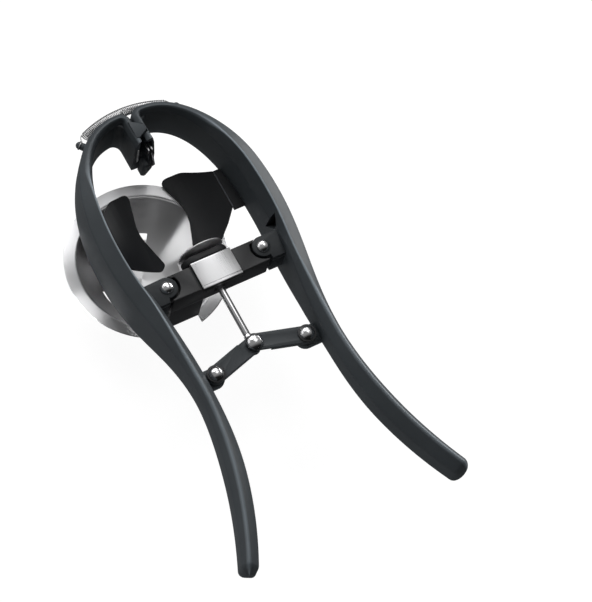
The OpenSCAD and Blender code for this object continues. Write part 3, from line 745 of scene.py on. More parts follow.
def arm_mesh(ridge, lean):
    """An arm's wall, with a value on each point that tells how near the ridge it is, which sets the painted
    highlight along the ridge.
    """
    line = arm_line()
    last = len(line) - 1
    rings = []
    for i, (x, y, thick, fill) in enumerate(line):
        ahead = line[min(last, i + 1)]
        back = line[max(0, i - 1)]
        way = Vector((ahead[0] - back[0], ahead[1] - back[1])).normalized()
        middle = (floor_z(y) + crest_z(y)) / 2
        half = (crest_z(y) - floor_z(y)) / 2 * (0.1 + 0.9 * fill)
        ring = []
        for off, z in arm_section(middle - half, middle + half, thick, y, ridge):
            px = x + way.y * off
            py = y - way.x * off
            if i == last:
                py = beak_end(px, z, lean)
            ring.append(spot(px, py, z))
        rings.append(ring)
    mesh = skin(rings)
    # Points near the ridge carry the painted highlight: half as strong towards the handle's tip, faded to a
    # tenth at the loop's front
    near = mesh.verts.layers.float.new("ridge")
    mesh.verts.ensure_lookup_table()
    for i, (x, y, thick, fill) in enumerate(line):
        rise = 0.5 + 0.5 * ease(y, -60, -10)
        fade = 1 - 0.9 * ease(y, 50, 75)
        for k in RIDGE_POINTS:
            painted_highlight = 1 - abs(k - RIDGE_POINTS[2]) / 2
            mesh.verts[i * len(rings[0]) + k][near] = painted_highlight * rise * fade
    return mesh


def tongue_mesh():
    """Flat lug that lies in the crossbar, with the pivot's hole, painted darker as painted shade."""
    outline = arc(PIVOT_X, 0, TONGUE_R, 90, 270 + SWING, 22)
    outline += [(TONGUE_REAR, -BAR_REAR), (TONGUE_WALL, -BAR_REAR), (TONGUE_WALL, BAR_FRONT)]
    piece = loose("tongue", prism(outline, TONGUE_LOW, BAR_TOP, 0.35))
    carved(piece, prism(arc(PIVOT_X, 0, PIVOT_HOLE, 0, 352.5, 47), TONGUE_LOW - 1, 0, 0))
    mesh = bmesh.new()
    mesh.from_mesh(piece.data)
    bpy.data.objects.remove(piece)
    return marked(mesh, "dull")


def lug_mesh():
    """Flat lug that carries the link's rivet."""
    outline = arc(LINK_X, -LINK_BACK, LUG_R, 90, 270, 20)
    outline += [(WAIST_X, -LINK_BACK - LUG_R), (WAIST_X, -LINK_BACK + LUG_R)]
    return prism(outline, LUG_LOW, LUG_TOP, 0.4)


def fillet_mesh():
    """Rounding that fills the corner between a jaw and the loop."""
    x = JAW_GAP / 2 + FRONT_WALL
    y = FRONT_REACH - FRONT_WALL / 2
    sunk = 0.6
    outline = [(x - sunk, y + sunk), (x - sunk, y - JAW_FILLET)]
    outline += arc(x + JAW_FILLET, y - JAW_FILLET, JAW_FILLET, 180, 90, 12)
    outline += [(x + JAW_FILLET, y + sunk)]
    return prism(outline, -LOOP_DEEP + 0.1, -3.9, 0.5)


def gusset_mesh():
    """Block under the flat lug, hollow round the crossbar's end, with room at its rear for the swing; it is
    painted darker as painted shade.
    """
    turn_r = BAR_ROUND + LAP_CLEAR
    high = math.degrees(math.asin(BAR_FRONT / turn_r))
    outline = arc(PIVOT_X, 0, turn_r, SWING - 90, high, 16)
    outline += [(TONGUE_WALL, BAR_FRONT), (TONGUE_WALL, -BAR_REAR), (TONGUE_REAR, -BAR_REAR)]
    return marked(prism(outline, BAR_LOW, TONGUE_LOW + 0.2, 0.3), "dull")


def notch_mesh(side):
    """Space cut from the top of a jaw's end."""
    y = BEAK_Y
    if side == "left":
        outline = [(-1, y + 4.1), (1.7, y + 2.7), (1.7, y + 1), (2.9, y - 0.6), (2.9, y - 3), (-1, y - 3)]
    else:
        outline = [(-1, y + 5), (JAW_GAP / 2, y + 5), (0.7, y + 4), (0.7, y - 7), (-1, y - 7)]
    return prism(outline, NOTCH_LOW, CREST_HIGH + 1, 0)


def lap_mesh():
    """Flat top of the left jaw, which laps over the right one."""
    y = BEAK_Y
    outline = soft_outline([
        (3.2, y + 11.7, 0.3), (1.2, y + 10.6, 0.6), (-LAP_X, y + 7.8, 0.5), (-LAP_X, y + 5, 0.3),
        (1.7, y + 2.7, 0.2), (3.2, y + 2.7, 0.3),
    ])
    return prism(outline, LAP_LOW, LAP_TOP, 0.35)


def lap_room_mesh():
    """Space in the right jaw for the left one's flat top."""
    y = BEAK_Y
    edge = LAP_X + LAP_CLEAR
    outline = [(-1.5, y + 12.2), (edge, y + 8.4), (edge, y + 4.1), (-1.5, y + 4.1)]
    return prism(outline, LAP_LOW - LAP_CLEAR, CREST_HIGH + 1, 0)


def toe_mesh():
    """Toe of the right jaw's foot, which reaches behind the left one's end."""
    foot = BEAK_Y - LEAN["right"]
    rear = BEAK_Y - LEAN["left"] - LAP_CLEAR
    outline = soft_outline([
        (0.5, rear, 0.1), (-1.8, rear, 0.3), (-1.8, foot + 0.7, 0.4), (-0.7, foot, 0.4), (0.5, foot, 0.1),
    ])
    return prism(outline, 0.1 - LOOP_DEEP, -14, 0.3)


def tooth_room_mesh():
    """Space under the right jaw's tooth, where the blade's two ribs show."""
    return prism(rectangle(0.6, BEAK_Y - 8, 3.6, BEAK_Y + 2), RIB_Z, -1, 0)


def ribs_mesh():
    """Two upright ribs of the right blade under the jaw's tooth."""
    ribs = []
    for x in (1.2, 2.85):
        outline = rectangle(x - RIB_HALF, BEAK_Y - 2.4, x + RIB_HALF, BEAK_Y + 2)
        ribs.append(prism(outline, RIB_Z - 3, RIB_Z + 0.5, 0.12))
    return joined(*ribs)


def pocket_mesh():
    """Small pocket in an arm's inner wall, just ahead of its flat lug."""
    wall = SIDE_X - SIDE_WALL / 2
    return prism([(12.2, -13), (11, 2.4), (6, -0.2), (6, -4)], wall - 3, wall + 4.5, 0, from_side)


class CRACKER_OT_arms(bpy.types.Operator):
    """Builds the two lever arms with their ridges, lugs and beak"""
    bl_idname = "cracker.arms"
    bl_label = "Arms"

    def execute(self, context):
        sizes = context.scene.cracker_sizes
        for side in SIDES:
            arm = loose(side + "_arm_shell", on_side(side, arm_mesh(sizes.ridge_round / MM, LEAN[side])))
            carved(arm, on_side(side, notch_mesh(side)))
            carved(arm, on_side(side, pocket_mesh()))
            extras = [tongue_mesh(), lug_mesh(), fillet_mesh(), gusset_mesh()]
            if side == "left":
                extras.append(lap_mesh())
            else:
                carved(arm, lap_room_mesh())
                carved(arm, tooth_room_mesh())
                extras.append(toe_mesh())
            grafted(arm, *[on_side(side, extra) for extra in extras])
            finish_piece(arm, side + "_lever", [side + "_arm"], "Slate plastic")
        return {"FINISHED"}


def fold_mesh():
    """Bead along the fold where a cradle bends down, carrying the same painted highlight as the arms'
    ridges.
    """
    ends = [spot(FOLD_X, FOLD_FROM + (FOLD_TO - FOLD_FROM) * k / 4, FOLD_Z) for k in range(5)]
    return marked(tube(ends, 0.3, 10), "ridge")


class CRACKER_OT_cradles(bpy.types.Operator):
    """Builds the two bent leaves that hold the egg"""
    bl_idname = "cracker.cradles"
    bl_label = "Cradles"

    def execute(self, context):
        for side in SIDES:
            node = side + "_cradle"
            leaf = loose(side + "_cradle_leaf", joined(rounded_copy(node, 0.3), on_side(side, fold_mesh())))
            finish_piece(leaf, side + "_lever", [node], "Dark cradle plastic", 24)
        return {"FINISHED"}


class CRACKER_OT_blades(bpy.types.Operator):
    """Builds the steel blades in the two jaws"""
    bl_idname = "cracker.blades"
    bl_label = "Blades"

    def execute(self, context):
        for side in SIDES:
            node = side + "_blade"
            plate = rounded_copy(node, 0.15)
            if side == "right":
                plate = joined(plate, ribs_mesh())
            blade = loose(side + "_blade_plate", plate)
            finish_piece(blade, side + "_lever", [node], "Satin sheet steel")
        return {"FINISHED"}


class CRACKER_OT_pegs(bpy.types.Operator):
    """Builds the round-ended pegs that hold the spring"""
    bl_idname = "cracker.pegs"
    bl_label = "Spring pegs"

    def execute(self, context):
        slim = PEG_R - 0.1

        def place(u, v, along):
            return spot(*(PEG_FOOT + PEG_WAY * along + PEG_ACROSS * u + Vector((0, 0, v))))

        profile = [(0, -3), (PEG_R, -3), (PEG_R, 2.6)]
        profile += [(slim, PEG_NECK - 0.5), (PEG_R - PEG_GROOVE, PEG_NECK), (slim, PEG_NECK + 0.5)]
        round_end = bow(PEG_R, PEG_OUT - PEG_R, 0, math.pi / 2, 8)
        profile += round_end[:-1] + [(0, PEG_OUT)]
        for side in SIDES:
            peg = loose(side + "_peg", on_side(side, turned(profile, 32, place)))
            finish_piece(peg, side + "_lever", [side + "_spring_peg"], "Slate plastic")
        return {"FINISHED"}


# Spring
def new_geometry(name, inputs):
    """A geometry tree with named inputs; gives the tree and the nodes at its two ends."""
    group = bpy.data.node_groups.new(name, "GeometryNodeTree")
    group.interface.new_socket("Geometry", in_out="OUTPUT", socket_type="NodeSocketGeometry")
    group.interface.new_socket("Geometry", in_out="INPUT", socket_type="NodeSocketGeometry")
    for label, kind in inputs.items():
        group.interface.new_socket(label, in_out="INPUT", socket_type=kind)
    tree = Tree(group)
    entry = tree.add("NodeGroupInput")
    exit_node = tree.add("NodeGroupOutput")
    return tree, entry, exit_node


def end_geometry(tree, shape, entry, exit_node):
    """Ends a tree in real geometry with its finish set."""
    real = tree.add("GeometryNodeRealizeInstances", {0: shape})
    paint = {"Geometry": real.outputs[0], "Material": entry.outputs["Finish"]}
    painted = tree.add("GeometryNodeSetMaterial", paint)
    tree.tree.links.new(painted.outputs[0], exit_node.inputs[0])
    return tree.tree


def grown(name, seed, group, values):
    """A plain mesh object made by a geometry tree from a seed mesh and values for its inputs."""
    piece = loose(name, seed)
    grow = piece.modifiers.new("Grow", "NODES")
    grow.node_group = group
    for item in group.interface.items_tree:
        if item.in_out == "INPUT" and item.name in values:
            grow[item.identifier] = values[item.name]
    return settled(piece)


def coil_group():
    """Tree that winds a wire round part of a bowed line."""
    number = "NodeSocketFloat"
    inputs = {
        "Turns": number, "Points": "NodeSocketInt", "Begin": number, "End": number, "Bow Radius": number,
        "Bow Middle": number, "Height": number, "Winding Radius": number, "Wire Radius": number,
        "Finish": "NodeSocketMaterial",
    }
    tree, entry, exit_node = new_geometry("Wound spring", inputs)
    take = {name: Number(tree, entry.outputs[name]) for name in inputs if name != "Finish"}
    share = tree.number("GeometryNodeInputIndex") / (take["Points"] - 1)
    bow = take["Begin"] + (take["End"] - take["Begin"]) * share
    turn = 2 * math.pi * take["Turns"] * share
    out = take["Bow Radius"] + take["Winding Radius"] * turn.cosine()
    x = out * bow.sine()
    y = take["Bow Middle"] + out * bow.cosine()
    z = take["Height"] + take["Winding Radius"] * turn.sine()
    wire = tree.swept(take["Points"], tree.vector(x, y, z), 8, take["Wire Radius"])
    return end_geometry(tree, wire, entry, exit_node)


def hook_mesh(wire_r, wind_r):
    """Right end of the spring's wire, which leaves the coil and wraps the peg."""
    leave = Vector((ARC_R * math.sin(ARC_SWEEP), ARC_Y + ARC_R * math.cos(ARC_SWEEP), COIL_Z))
    out = Vector((math.sin(ARC_SWEEP), math.cos(ARC_SWEEP), 0))
    grip = PEG_FOOT + PEG_WAY * PEG_NECK
    wrap = PEG_R - PEG_GROOVE + wire_r
    steps = 24
    start = leave + out * wind_r
    points = [start, start.lerp(grip - PEG_ACROSS * wrap, 0.45) + Vector((0.3, 0.3, -0.3))]
    for k in range(steps + 3):
        a = 2 * math.pi * k / steps
        turn = PEG_ACROSS * (-wrap * math.cos(a)) + Vector((0, 0, wrap * math.sin(a)))
        points.append(grip + turn + PEG_WAY * (2 * wire_r * k / steps - wire_r))
    return tube([spot(*p) for p in points], wire_r, 8)


class CRACKER_OT_spring(bpy.types.Operator):
    """Winds the return spring between the two pegs, one half for each arm"""
    bl_idname = "cracker.spring"
    bl_label = "Return spring"

    def execute(self, context):
        sizes = context.scene.cracker_sizes
        wire = sizes.wire / 2
        wind = sizes.coil / 2 - wire
        half_turns = sizes.turns / 2
        turn_points = 18
        group = coil_group()
        ends = {"left": -ARC_SWEEP, "right": ARC_SWEEP}
        for side, sweep in ends.items():
            values = {
                "Turns": half_turns, "Points": int(half_turns * turn_points) + 1, "Begin": 0.0, "End": sweep,
                "Bow Radius": ARC_R * MM, "Bow Middle": spot(0, ARC_Y, 0).y, "Height": spot(0, 0, COIL_Z).z,
                "Winding Radius": wind, "Wire Radius": wire, "Finish": finish_named("Spring wire"),
            }
            half = grown(side + "_spring_half", bmesh.new(), group, values)
            grafted(half, on_side(side, hook_mesh(wire / MM, wind / MM)))
            nodes = ["return_spring"] if side == "left" else []
            finish_piece(half, None, nodes, "Spring wire", 60)
            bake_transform(half)
        return {"FINISHED"}


# Fasteners
def rivet_group():
    """Tree that sets a domed rivet on each point, with a flatter dome closing its far end."""
    inputs = {part + " " + size: "NodeSocketFloat" for part in RIVET_PARTS for size in RIVET_SIZES}
    tree, entry, exit_node = new_geometry(
        "Domed rivets", inputs | {"Turn": "NodeSocketRotation", "Finish": "NodeSocketMaterial"},
    )
    take = {name: Number(tree, entry.outputs[name]) for name in inputs}

    def dome(part):
        """A turned dome that stands on zero, with a short straight skirt."""
        width, height = (take[part + " " + size] for size in RIVET_SIZES)
        steps = 14
        skirt = height * 0.12
        rise = height - skirt
        ball = (width * width / 4 + rise * rise) / (2 * rise)
        low = ((ball - rise) / ball).arcsine()
        index = tree.number("GeometryNodeInputIndex")
        share = (index - 1).at_least(0.0) / steps
        angle = low + (math.pi / 2 - 0.02 - low) * share
        z = skirt * index.at_most(1.0) + ball * angle.sine() - (ball - rise)
        return tree.swept(steps + 2, tree.vector(z=z), 40, 1.0, ball * angle.cosine())

    def moved(shape, z, turn=0.0):
        """A shape set at a height, and turned over where the turn says so."""
        sockets = {0: shape, "Translation": tree.vector(z=z), "Rotation": (turn, 0, 0)}
        return tree.add("GeometryNodeTransform", sockets).outputs[0]

    length = take["Shank Height"]
    shank = tree.add("GeometryNodeMeshCylinder", {
        "Vertices": 32, "Radius": take["Shank Width"] / 2, "Depth": length,
    })
    core = moved(shank.outputs[0], length / -2)
    below = moved(dome("Tail"), 0 - length, math.pi)
    whole = tree.add("GeometryNodeJoinGeometry")
    for part in (core, below, dome("Head")):
        tree.tree.links.new(part, whole.inputs[0])
    spread = tree.add("GeometryNodeInstanceOnPoints", {
        "Points": entry.outputs["Geometry"], "Instance": whole.outputs[0],
        "Rotation": entry.outputs["Turn"],
    })
    return end_geometry(tree, spread.outputs[0], entry, exit_node)


def rivets(name, places, widths, heights, turn, body, nodes):
    """Rivets on several places; widths and heights are those of head, shank and tail in millimetres."""
    seed = bmesh.new()
    for place in places:
        seed.verts.new(spot(*place))
    group = bpy.data.node_groups.get("Domed rivets") or rivet_group()
    values = {"Turn": Euler(turn), "Finish": finish_named("Polished steel")}
    for size, measures in zip(RIVET_SIZES, (widths, heights)):
        for part, measure in zip(RIVET_PARTS, measures):
            values[part + " " + size] = measure * MM
    return finish_piece(grown(name, seed, group, values), body, nodes, "Polished steel")


class CRACKER_OT_rivets(bpy.types.Operator):
    """Sets the domed rivets, the washers under them and the screws of the clip"""
    bl_idname = "cracker.rivets"
    bl_label = "Rivets, washers and screws"

    def execute(self, context):
        head_high = context.scene.cracker_sizes.head_height / MM
        tail_high = 1.2
        upright = (0, 0, 0)

        head_low = BAR_TOP + 0.05
        places = [(-PIVOT_X, 0, head_low), (PIVOT_X, 0, head_low)]
        heights = (head_high, head_low - BAR_LOW, tail_high)
        nodes = ["left_pivot_rivet", "right_pivot_rivet"]
        rivets("pivot_rivets", places, PIVOT_RIVET, heights, upright, "crossbar_unit", nodes)

        head_low = LINK_TOP + 0.9
        heights = (head_high, head_low - LUG_LOW, tail_high)
        for side, sign in zip(SIDES, (-1, 1)):
            body = side + "_lever"
            places = [(sign * LINK_X, -LINK_BACK, head_low)]
            rivets(side + "_link_pin", places, LINK_RIVET, heights, upright, body, [side + "_link_rivet"])
            copied(side + "_washer", side + "_link_washer", 0.2, body, "Black plastic")

        head_low = LINK_TOP + 0.1
        places = [(0, -TOGGLE_BACK, head_low)]
        heights = (head_high, head_low - LUG_LOW, tail_high)
        rivets("toggle_rivet", places, TOGGLE_RIVET, heights, upright, "plunger", ["toggle_pin"])

        head_low = BAR_LOW - 6
        places = [(DISH_X - 2.6, -0.5, head_low), (DISH_X + 4.4, -0.5, head_low)]
        heights = (1.7, 11.6, 0.4)
        over = (math.pi, 0, 0)
        nodes = ["clip_screws"]
        rivets("clip_screw_pair", places, CLIP_SCREW, heights, over, "crossbar_unit", nodes)
        return {"FINISHED"}


class CRACKER_OT_links(bpy.types.Operator):
    """Builds the two flat links of the toggle"""
    bl_idname = "cracker.links"
    bl_label = "Links"

    def execute(self, context):
        width = context.scene.cracker_sizes.edge_round / MM
        for side in SIDES:
            bar = side + "_link_bar"
            copied(bar, side + "_link", width, bar, "Link plastic")
        return {"FINISHED"}


class CRACKER_OT_plunger(bpy.types.Operator):
    """Builds the plunger's rod, hub, cup and screw"""
    bl_idname = "cracker.plunger"
    bl_label = "Plunger"

    def execute(self, context):
        def upright(u, v, z):
            return spot(u, v - TOGGLE_BACK, z)

        neck = -TOGGLE_BACK + EYE_R
        collar = 1.8
        groove = 1.45
        profile = [(0, neck - 2), (collar - 0.3, neck - 2), (collar, neck - 1.7), (collar, neck + 1.9)]
        profile += [(collar - 0.15, neck + 2.2), (groove, neck + 2.5), (ROD_R, neck + 2.9)]
        profile += [(ROD_R, CUP_Y), (0, CUP_Y)]
        edge = 0.4
        eye = [(0, LUG_LOW), (EYE_R - edge, LUG_LOW), (EYE_R, LUG_LOW + edge)]
        eye += [(EYE_R, LUG_TOP - edge), (EYE_R - edge, LUG_TOP), (0, LUG_TOP)]
        rod = loose("plunger_rod_turned", joined(turned(profile, 48, round_rod), turned(eye, 48, upright)))
        finish_piece(rod, "plunger", ["plunger_rod"], "Polished steel", 30)
        copied("pusher_hub_moulded", "pusher_hub", 0.7, "plunger", "Black plastic", 3)

        ball = (CUP_R ** 2 + CUP_DEEP ** 2) / (2 * CUP_DEEP)
        wide = math.asin(CUP_R / ball)
        sweep = [wide * k / 16 for k in range(17)]
        back = [(ball * math.sin(a), CUP_Y + ball - ball * math.cos(a)) for a in sweep]
        inner = ball - CUP_SHEET
        face = [(inner * math.sin(a), CUP_Y + ball - inner * math.cos(a)) for a in sweep]
        lip = [(CUP_R + 0.12, CUP_Y + CUP_DEEP + 0.2), (CUP_R - 0.05, CUP_Y + CUP_DEEP + 0.5)]
        cup = loose("pusher_cup_pressed", turned(back + lip + face[::-1], 96, round_rod))
        finish_piece(cup, "plunger", ["pusher_cup"], "Satin cup steel", 50)

        places = [(0, CUP_Y + CUP_SHEET, ROD_Z)]
        heights = (1.4, 6.6, 0.2)
        ahead = (-math.pi / 2, 0, 0)
        rivets("pusher_screw_turned", places, CUP_SCREW, heights, ahead, "plunger", ["pusher_screw"])
        return {"FINISHED"}


def web_mesh():
    """Web at the front of the crossbar's end, which closes the round recess for the arm's lug."""
    near = TONGUE_R + 0.2
    rear = BAR_FRONT - 1.2
    begin = 180 - math.degrees(math.asin(rear / near))
    end = 180 - math.degrees(math.asin(BAR_FRONT / near))
    outline = [(PIVOT_X - 5.3, BAR_FRONT), (PIVOT_X - 5.3, rear)]
    outline += arc(PIVOT_X, 0, near, begin, end, 6)
    return prism(outline, TONGUE_LOW - 0.3, BAR_TOP, 0.1)


class CRACKER_OT_crossbar(bpy.types.Operator):
    """Builds the crossbar with the clip below it and the bush that guides the rod"""
    bl_idname = "cracker.crossbar"
    bl_label = "Crossbar, clip and bush"

    def execute(self, context):
        width = context.scene.cracker_sizes.edge_round / MM
        bar = loose("crossbar_moulded", rounded_copy("crossbar", width))
        for begin, end in ((-COVER_X - 1.3, -COVER_X + 0.1), (COVER_X - 0.1, COVER_X + 0.6)):
            groove = rectangle(begin, -BAR_REAR - 1, end, BAR_FRONT + 1)
            carved(bar, prism(groove, BAR_TOP - 0.9, BAR_TOP + 1, 0))
        grafted(bar, web_mesh(), flipped(web_mesh()))
        body = "crossbar_unit"
        finish_piece(bar, body, ["crossbar"], "Black plastic")
        copied("dish_clip_moulded", "dish_clip", width, body, "Black plastic")
        copied("guide_bush_turned", "guide_bush", 0.25, body, "Grey bush metal")
        return {"FINISHED"}


class CRACKER_OT_cover(bpy.types.Operator):
    """Folds the sheet steel cover over the crossbar"""
    bl_idname = "cracker.cover"
    bl_label = "Guide cover"

    def execute(self, context):
        front = BAR_FRONT + 0.1
        rear = -BAR_REAR - 0.1
        groove = rear + 0.45
        deep = -0.22
        bend = 0.8
        inner_bend = 0.2
        edge = 0.15
        fine = 0.05
        sheet = COVER_SHEET
        outline = soft_outline([
            (front + sheet, -COVER_DROP, edge), (front + sheet, 0, bend),
            (groove + 0.35, 0, fine), (groove + 0.25, deep, fine),
            (groove, deep, fine), (groove - 0.1, 0, fine),
            (rear - sheet, 0, bend), (rear - sheet, -COVER_LIP, edge), (rear, -COVER_LIP, edge),
            (rear, -sheet, inner_bend), (front, -sheet, inner_bend), (front, -COVER_DROP, edge),
        ])
        cover = loose("guide_cover_folded", prism(outline, -COVER_X, COVER_X, edge, from_side))
        hole = rectangle(0, 3, ROD_R + 0.6, 7)
        carved(cover, turned(hole, 40, round_rod))
        finish_piece(cover, "crossbar_unit", ["guide_cover"], "Satin sheet steel", 28)
        return {"FINISHED"}


# Dish
def dish_ball():
    """Radius and middle height of the ball that the bowl's outside is part of."""
    deep = FLANGE_TOP - FOOT_LOW
    rise = (RIM_R ** 2 - FOOT_R ** 2 - deep ** 2) / (2 * deep)
    return math.hypot(RIM_R, rise), FLANGE_TOP + rise


def dish_profile():
    """Section of the dish, from the inside's middle over the flange's edge to the foot's middle."""
    ball, middle = dish_ball()
    inner = ball - DISH_SHEET
    foot_in = FOOT_LOW + DISH_SHEET
    low_in = math.asin((foot_in - middle) / inner)
    low_out = math.asin((FOOT_LOW - middle) / ball)
    bend = 1.1
    high_in = math.asin((FLANGE_TOP - bend - middle) / inner)
    high_out = math.asin((FLANGE_TOP - DISH_SHEET - middle) / ball)
    inside = bow(inner, middle, low_in, high_in, 40)
    outside = bow(ball, middle, high_out, low_out, 40)
    rim = inner * math.cos(high_in)
    lip = [(rim + 0.12, FLANGE_TOP - 0.9), (rim + 0.7, FLANGE_TOP - 0.7), (rim + 0.75, FLANGE_TOP - 0.1)]
    lip += [(rim + 0.9, FLANGE_TOP)]
    edge = [(FLANGE_R - 0.6, FLANGE_TOP), (FLANGE_R - 0.25, FLANGE_TOP - 0.12)]
    edge += [(FLANGE_R, FLANGE_TOP - 0.4), (FLANGE_R - 0.25, FLANGE_TOP - 0.72)]
    edge += [(FLANGE_R - 0.6, FLANGE_TOP - DISH_SHEET)]
    return [(0, foot_in)] + inside + lip + edge + outside + [(0, FOOT_LOW)]


def slot_mesh(middle):
    """Wedge that cuts one drain slot through the bowl's wall."""
    first = middle - SLOT_ARC / 2
    last = middle + SLOT_ARC / 2
    outline = arc(DISH_X, DISH_Y, SLOT_INNER, first, last, 12)
    outline += arc(DISH_X, DISH_Y, RIM_R, last, first, 12)
    return prism(outline, SLOT_TOP - SLOT_TALL, SLOT_TOP, 0)


class CRACKER_OT_dish(bpy.types.Operator):
    """Builds the separator dish with its flange, drain slots and upright tab"""
    bl_idname = "cracker.dish"
    bl_label = "Separator dish"

    def execute(self, context):
        def place(u, v, z):
            return spot(DISH_X + u, DISH_Y + v, z)

        dish = loose("separator_dish_spun", turned(dish_profile(), 160, place))
        count = context.scene.cracker_sizes.slots
        for k in range(count):
            carved(dish, slot_mesh(SLOT_FIRST + 360 * k / count))
        half = TAB_W / 2
        gap = half + TAB_ROOM
        low = FLANGE_TOP - DISH_SHEET - 0.05
        inner = TAB_Y + 1.2
        cut = rectangle(DISH_X - gap, inner - 20, DISH_X + gap, inner)
        carved(dish, prism(cut, low, FLANGE_TOP + 1, 0))
        foot = FLANGE_TOP - 2.4
        outline = soft_outline([
            (DISH_X - half, foot, 0.1), (DISH_X + half, foot, 0.1),
            (DISH_X + half, TAB_HIGH, 2), (DISH_X - half, TAB_HIGH, 2),
        ])
        grafted(dish, prism(outline, TAB_Y, TAB_Y + DISH_SHEET, 0.15, from_front))
        finish_piece(dish, "dish", ["separator_dish"], "Spun dish steel", 28)
        return {"FINISHED"}


# Stage
def soft_light(name, place, size, power):
    """A large soft lamp that faces the cracker from a place in metres."""
    lamp = bpy.data.lights.new(name, "AREA")
    lamp.shape = "RECTANGLE"
    lamp.size = size[0]
    lamp.size_y = size[1]
    lamp.energy = power
    light = bpy.data.objects.new(name, lamp)
    bpy.context.scene.collection.objects.link(light)
    way = Vector((0, 0.02, 0.05)) - Vector(place)
    light.matrix_world = Matrix.Translation(place) @ way.to_track_quat("-Z", "Y").to_matrix().to_4x4()
    return light


def studio_world():
    """A plain studio: pale above and ahead, dark low behind the camera."""
    world = bpy.data.worlds.new("Studio")
    world.use_nodes = True
    world.node_tree.nodes.clear()
    tree = Tree(world.node_tree)
    way = tree.add("ShaderNodeSeparateXYZ", {0: tree.add("ShaderNodeTexCoord").outputs["Generated"]})
    ahead = Number(tree, way.outputs[1])
    above = Number(tree, way.outputs[2])
    open_sky = (ahead + 0.3 * above + 0.55) * 2
    share = open_sky.at_least(0.0).at_most(1.0)
    low = 1 + 0.6 * above.at_most(0.0)
    dim = 0.006
    bright = 0.254
    glow = tree.add("ShaderNodeBackground", {0: WHITE, 1: dim + bright * share * low})
    tree.add("ShaderNodeOutputWorld", {"Surface": glow.outputs[0]})
    return world


class CRACKER_OT_stage(bpy.types.Operator):
    """Sets the pale floor, the soft lights and the camera"""
    bl_idname = "cracker.stage"
    bl_label = "Floor, lights and camera"

    def execute(self, context):
        scene = context.scene
        half = 3.0
        low = -0.5 * MM
        floor_mesh = bmesh.new()
        corners = rectangle(-half, -half, half, half)
        floor_mesh.faces.new([floor_mesh.verts.new((x, y, low)) for x, y in corners])
        floor = loose("floor", floor_mesh)
        pale = scene.cracker_colours.floor

        def build(tree):
            cloud = tree.noise(tree.places(), 3.0)
            return {
                "Base Color": tree.colours(cloud, shaded(pale, 0.99), shaded(pale, 1.0)),
                "Roughness": 0.9,
                "Specular IOR Level": 0.0,
                "Emission Color": WHITE,
                "Emission Strength": 0.9,
            }

        floor.data.materials.append(new_finish("Pale floor", build))
        floor.visible_glossy = False

        scene.world = studio_world()
        soft_light("Front softbox", (0.05, 1.0, 0.9), (1.2, 0.7), 10.5)
        soft_light("Top softbox", (0.51, 0.42, 1.79), (1.1, 1.1), 6)
        soft_light("Left softbox", (-1.15, 0.95, 0.55), (1.2, 0.9), 2.9)
        soft_light("Right softbox", (1.2, 0.35, 0.15), (0.9, 0.5), 12)

        # The bowl mirrors this softbox; it lights no other piece
        dish_light = soft_light("Dish softbox", (-1.2, 0.03, 0.42), (0.7, 0.6), 12)
        lit = bpy.data.collections.new("Lit by the dish softbox")
        lit.objects.link(bpy.data.objects["separator_dish_spun"])
        dish_light.light_linking.receiver_collection = lit
        scene.view_settings.view_transform = "Standard"

        # The camera fitted to the photo, with its offset from the pivots in millimetres
        turn = math.radians(-48.423)
        rise = math.radians(64.609)
        roll = math.radians(21.601)
        back = Vector((math.sin(turn) * math.cos(rise), -math.cos(turn) * math.cos(rise), math.sin(rise)))
        flat = Vector((math.cos(turn), math.sin(turn), 0))
        over = back.cross(flat)
        right = flat * math.cos(roll) + over * math.sin(roll)
        up = over * math.cos(roll) - flat * math.sin(roll)
        aside = 35.305
        below = 15.468
        away = 1200.011
        eye = right * aside - up * below + back * away
        lens = bpy.data.cameras.new("Camera")
        lens.lens = 163.42
        lens.sensor_width = 36
        lens.sensor_fit = "AUTO"
        lens.clip_start = 0.01
        camera = bpy.data.objects.new("Camera", lens)
        scene.collection.objects.link(camera)
        aim = Matrix((right, up, back)).transposed().to_4x4()
        camera.matrix_world = Matrix.Translation(spot(*eye)) @ aim
        scene.camera = camera
        return {"FINISHED"}


# Add-on
class CrackerSizes(bpy.types.PropertyGroup):
    """Sizes of the details that a user would change."""
    edge_round: bpy.props.FloatProperty(
        name="Edge Rounding", description="Rounding of the moulded edges", default=0.0004, min=0.0001,
        max=0.001, precision=5, unit="LENGTH",
    )
    ridge_round: bpy.props.FloatProperty(
        name="Ridge Rounding", description="Rounding of the ridge along the handles", default=0.0007,
        min=0.0002, max=0.003, precision=5, unit="LENGTH",
    )
    head_height: bpy.props.FloatProperty(
        name="Rivet Head Height", description="Height of the domed rivet heads", default=0.0024, min=0.001,
        max=0.003, precision=5, unit="LENGTH",
    )
    coil: bpy.props.FloatProperty(
        name="Coil Width", description="Outer width of the return spring's coil", default=0.0044, min=0.003,
        max=0.005, precision=5, unit="LENGTH",
    )
    wire: bpy.props.FloatProperty(
        name="Wire Thickness", description="Thickness of the spring's wire", default=0.00056, min=0.0004,
        max=0.0008, precision=5, unit="LENGTH",
    )
    turns: bpy.props.IntProperty(
        name="Coil Turns", description="Turns in the whole return spring", default=52, min=20, max=64,
    )
    slots: bpy.props.IntProperty(
        name="Drain Slots", description="Drain slots in the dish's wall", default=3, min=2, max=4,
    )


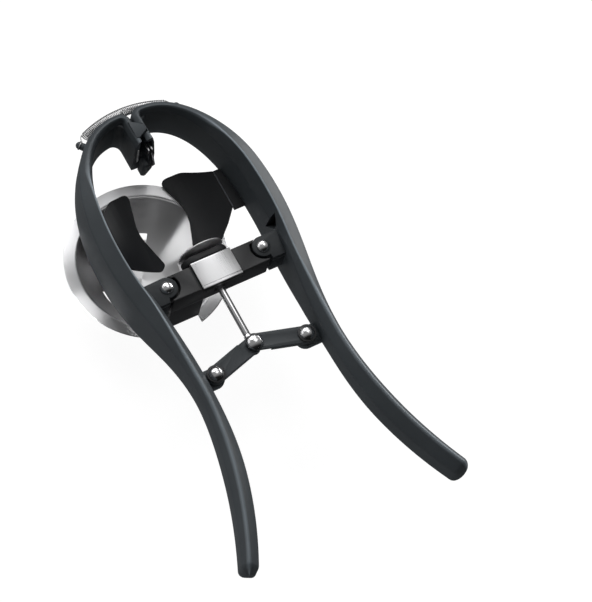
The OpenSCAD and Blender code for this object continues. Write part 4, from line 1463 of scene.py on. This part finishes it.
class CrackerColours(bpy.types.PropertyGroup):
    """Colours of the finishes that a user would change."""
    arm: bpy.props.FloatVectorProperty(
        name="Arms", description="Slate plastic of the arms, links and pegs", subtype="COLOR", size=3,
        min=0, max=1, default=(0.042, 0.0485, 0.054),
    )
    bar: bpy.props.FloatVectorProperty(
        name="Bars", description="Black plastic of the crossbar, clip, hub and washers", subtype="COLOR",
        size=3, min=0, max=1, default=(0.02, 0.0205, 0.022),
    )
    cradle: bpy.props.FloatVectorProperty(
        name="Cradles", description="Dark plastic of the leaves that hold the egg", subtype="COLOR", size=3,
        min=0, max=1, default=(0.012, 0.0128, 0.0145),
    )
    steel: bpy.props.FloatVectorProperty(
        name="Steel", description="Tint of the steel parts", subtype="COLOR", size=3, min=0, max=1,
        default=(0.8, 0.8, 0.81),
    )
    bush: bpy.props.FloatVectorProperty(
        name="Bush", description="Grey metal of the rod's guide bush", subtype="COLOR", size=3,
        min=0, max=1, default=(0.36, 0.36, 0.37),
    )
    floor: bpy.props.FloatVectorProperty(
        name="Floor", description="Pale floor under the cracker", subtype="COLOR", size=3, min=0, max=1,
        default=(0.2, 0.2, 0.2),
    )


BUILDERS = (
    CRACKER_OT_arms, CRACKER_OT_cradles, CRACKER_OT_blades, CRACKER_OT_pegs, CRACKER_OT_spring,
    CRACKER_OT_rivets, CRACKER_OT_links, CRACKER_OT_plunger, CRACKER_OT_crossbar, CRACKER_OT_cover,
    CRACKER_OT_dish, CRACKER_OT_stage,
)


class CRACKER_PT_panel(bpy.types.Panel):
    """Lists the pieces, sizes and colours of the egg cracker"""
    bl_idname = "CRACKER_PT_panel"
    bl_label = "Egg Cracker"
    bl_space_type = "VIEW_3D"
    bl_region_type = "UI"
    bl_category = "Egg Cracker"

    def draw(self, context):
        for group in (context.scene.cracker_sizes, context.scene.cracker_colours):
            column = self.layout.column()
            for name in group.__annotations__:
                column.prop(group, name)
        column = self.layout.column()
        for builder in BUILDERS:
            column.operator(builder.bl_idname)


CLASSES = (CrackerSizes, CrackerColours) + BUILDERS + (CRACKER_PT_panel,)


def register():
    for one in CLASSES:
        bpy.utils.register_class(one)
    bpy.types.Scene.cracker_sizes = bpy.props.PointerProperty(type=CrackerSizes)
    bpy.types.Scene.cracker_colours = bpy.props.PointerProperty(type=CrackerColours)


def unregister():
    del bpy.types.Scene.cracker_colours
    del bpy.types.Scene.cracker_sizes
    for one in reversed(CLASSES):
        bpy.utils.unregister_class(one)


def main():
    register()
    bpy.ops.cracker.arms()
    bpy.ops.cracker.cradles()
    bpy.ops.cracker.blades()
    bpy.ops.cracker.pegs()
    bpy.ops.cracker.spring()
    bpy.ops.cracker.rivets()
    bpy.ops.cracker.links()
    bpy.ops.cracker.plunger()
    bpy.ops.cracker.crossbar()
    bpy.ops.cracker.cover()
    bpy.ops.cracker.dish()
    bpy.ops.cracker.stage()


if __name__ == "__main__":
    main()
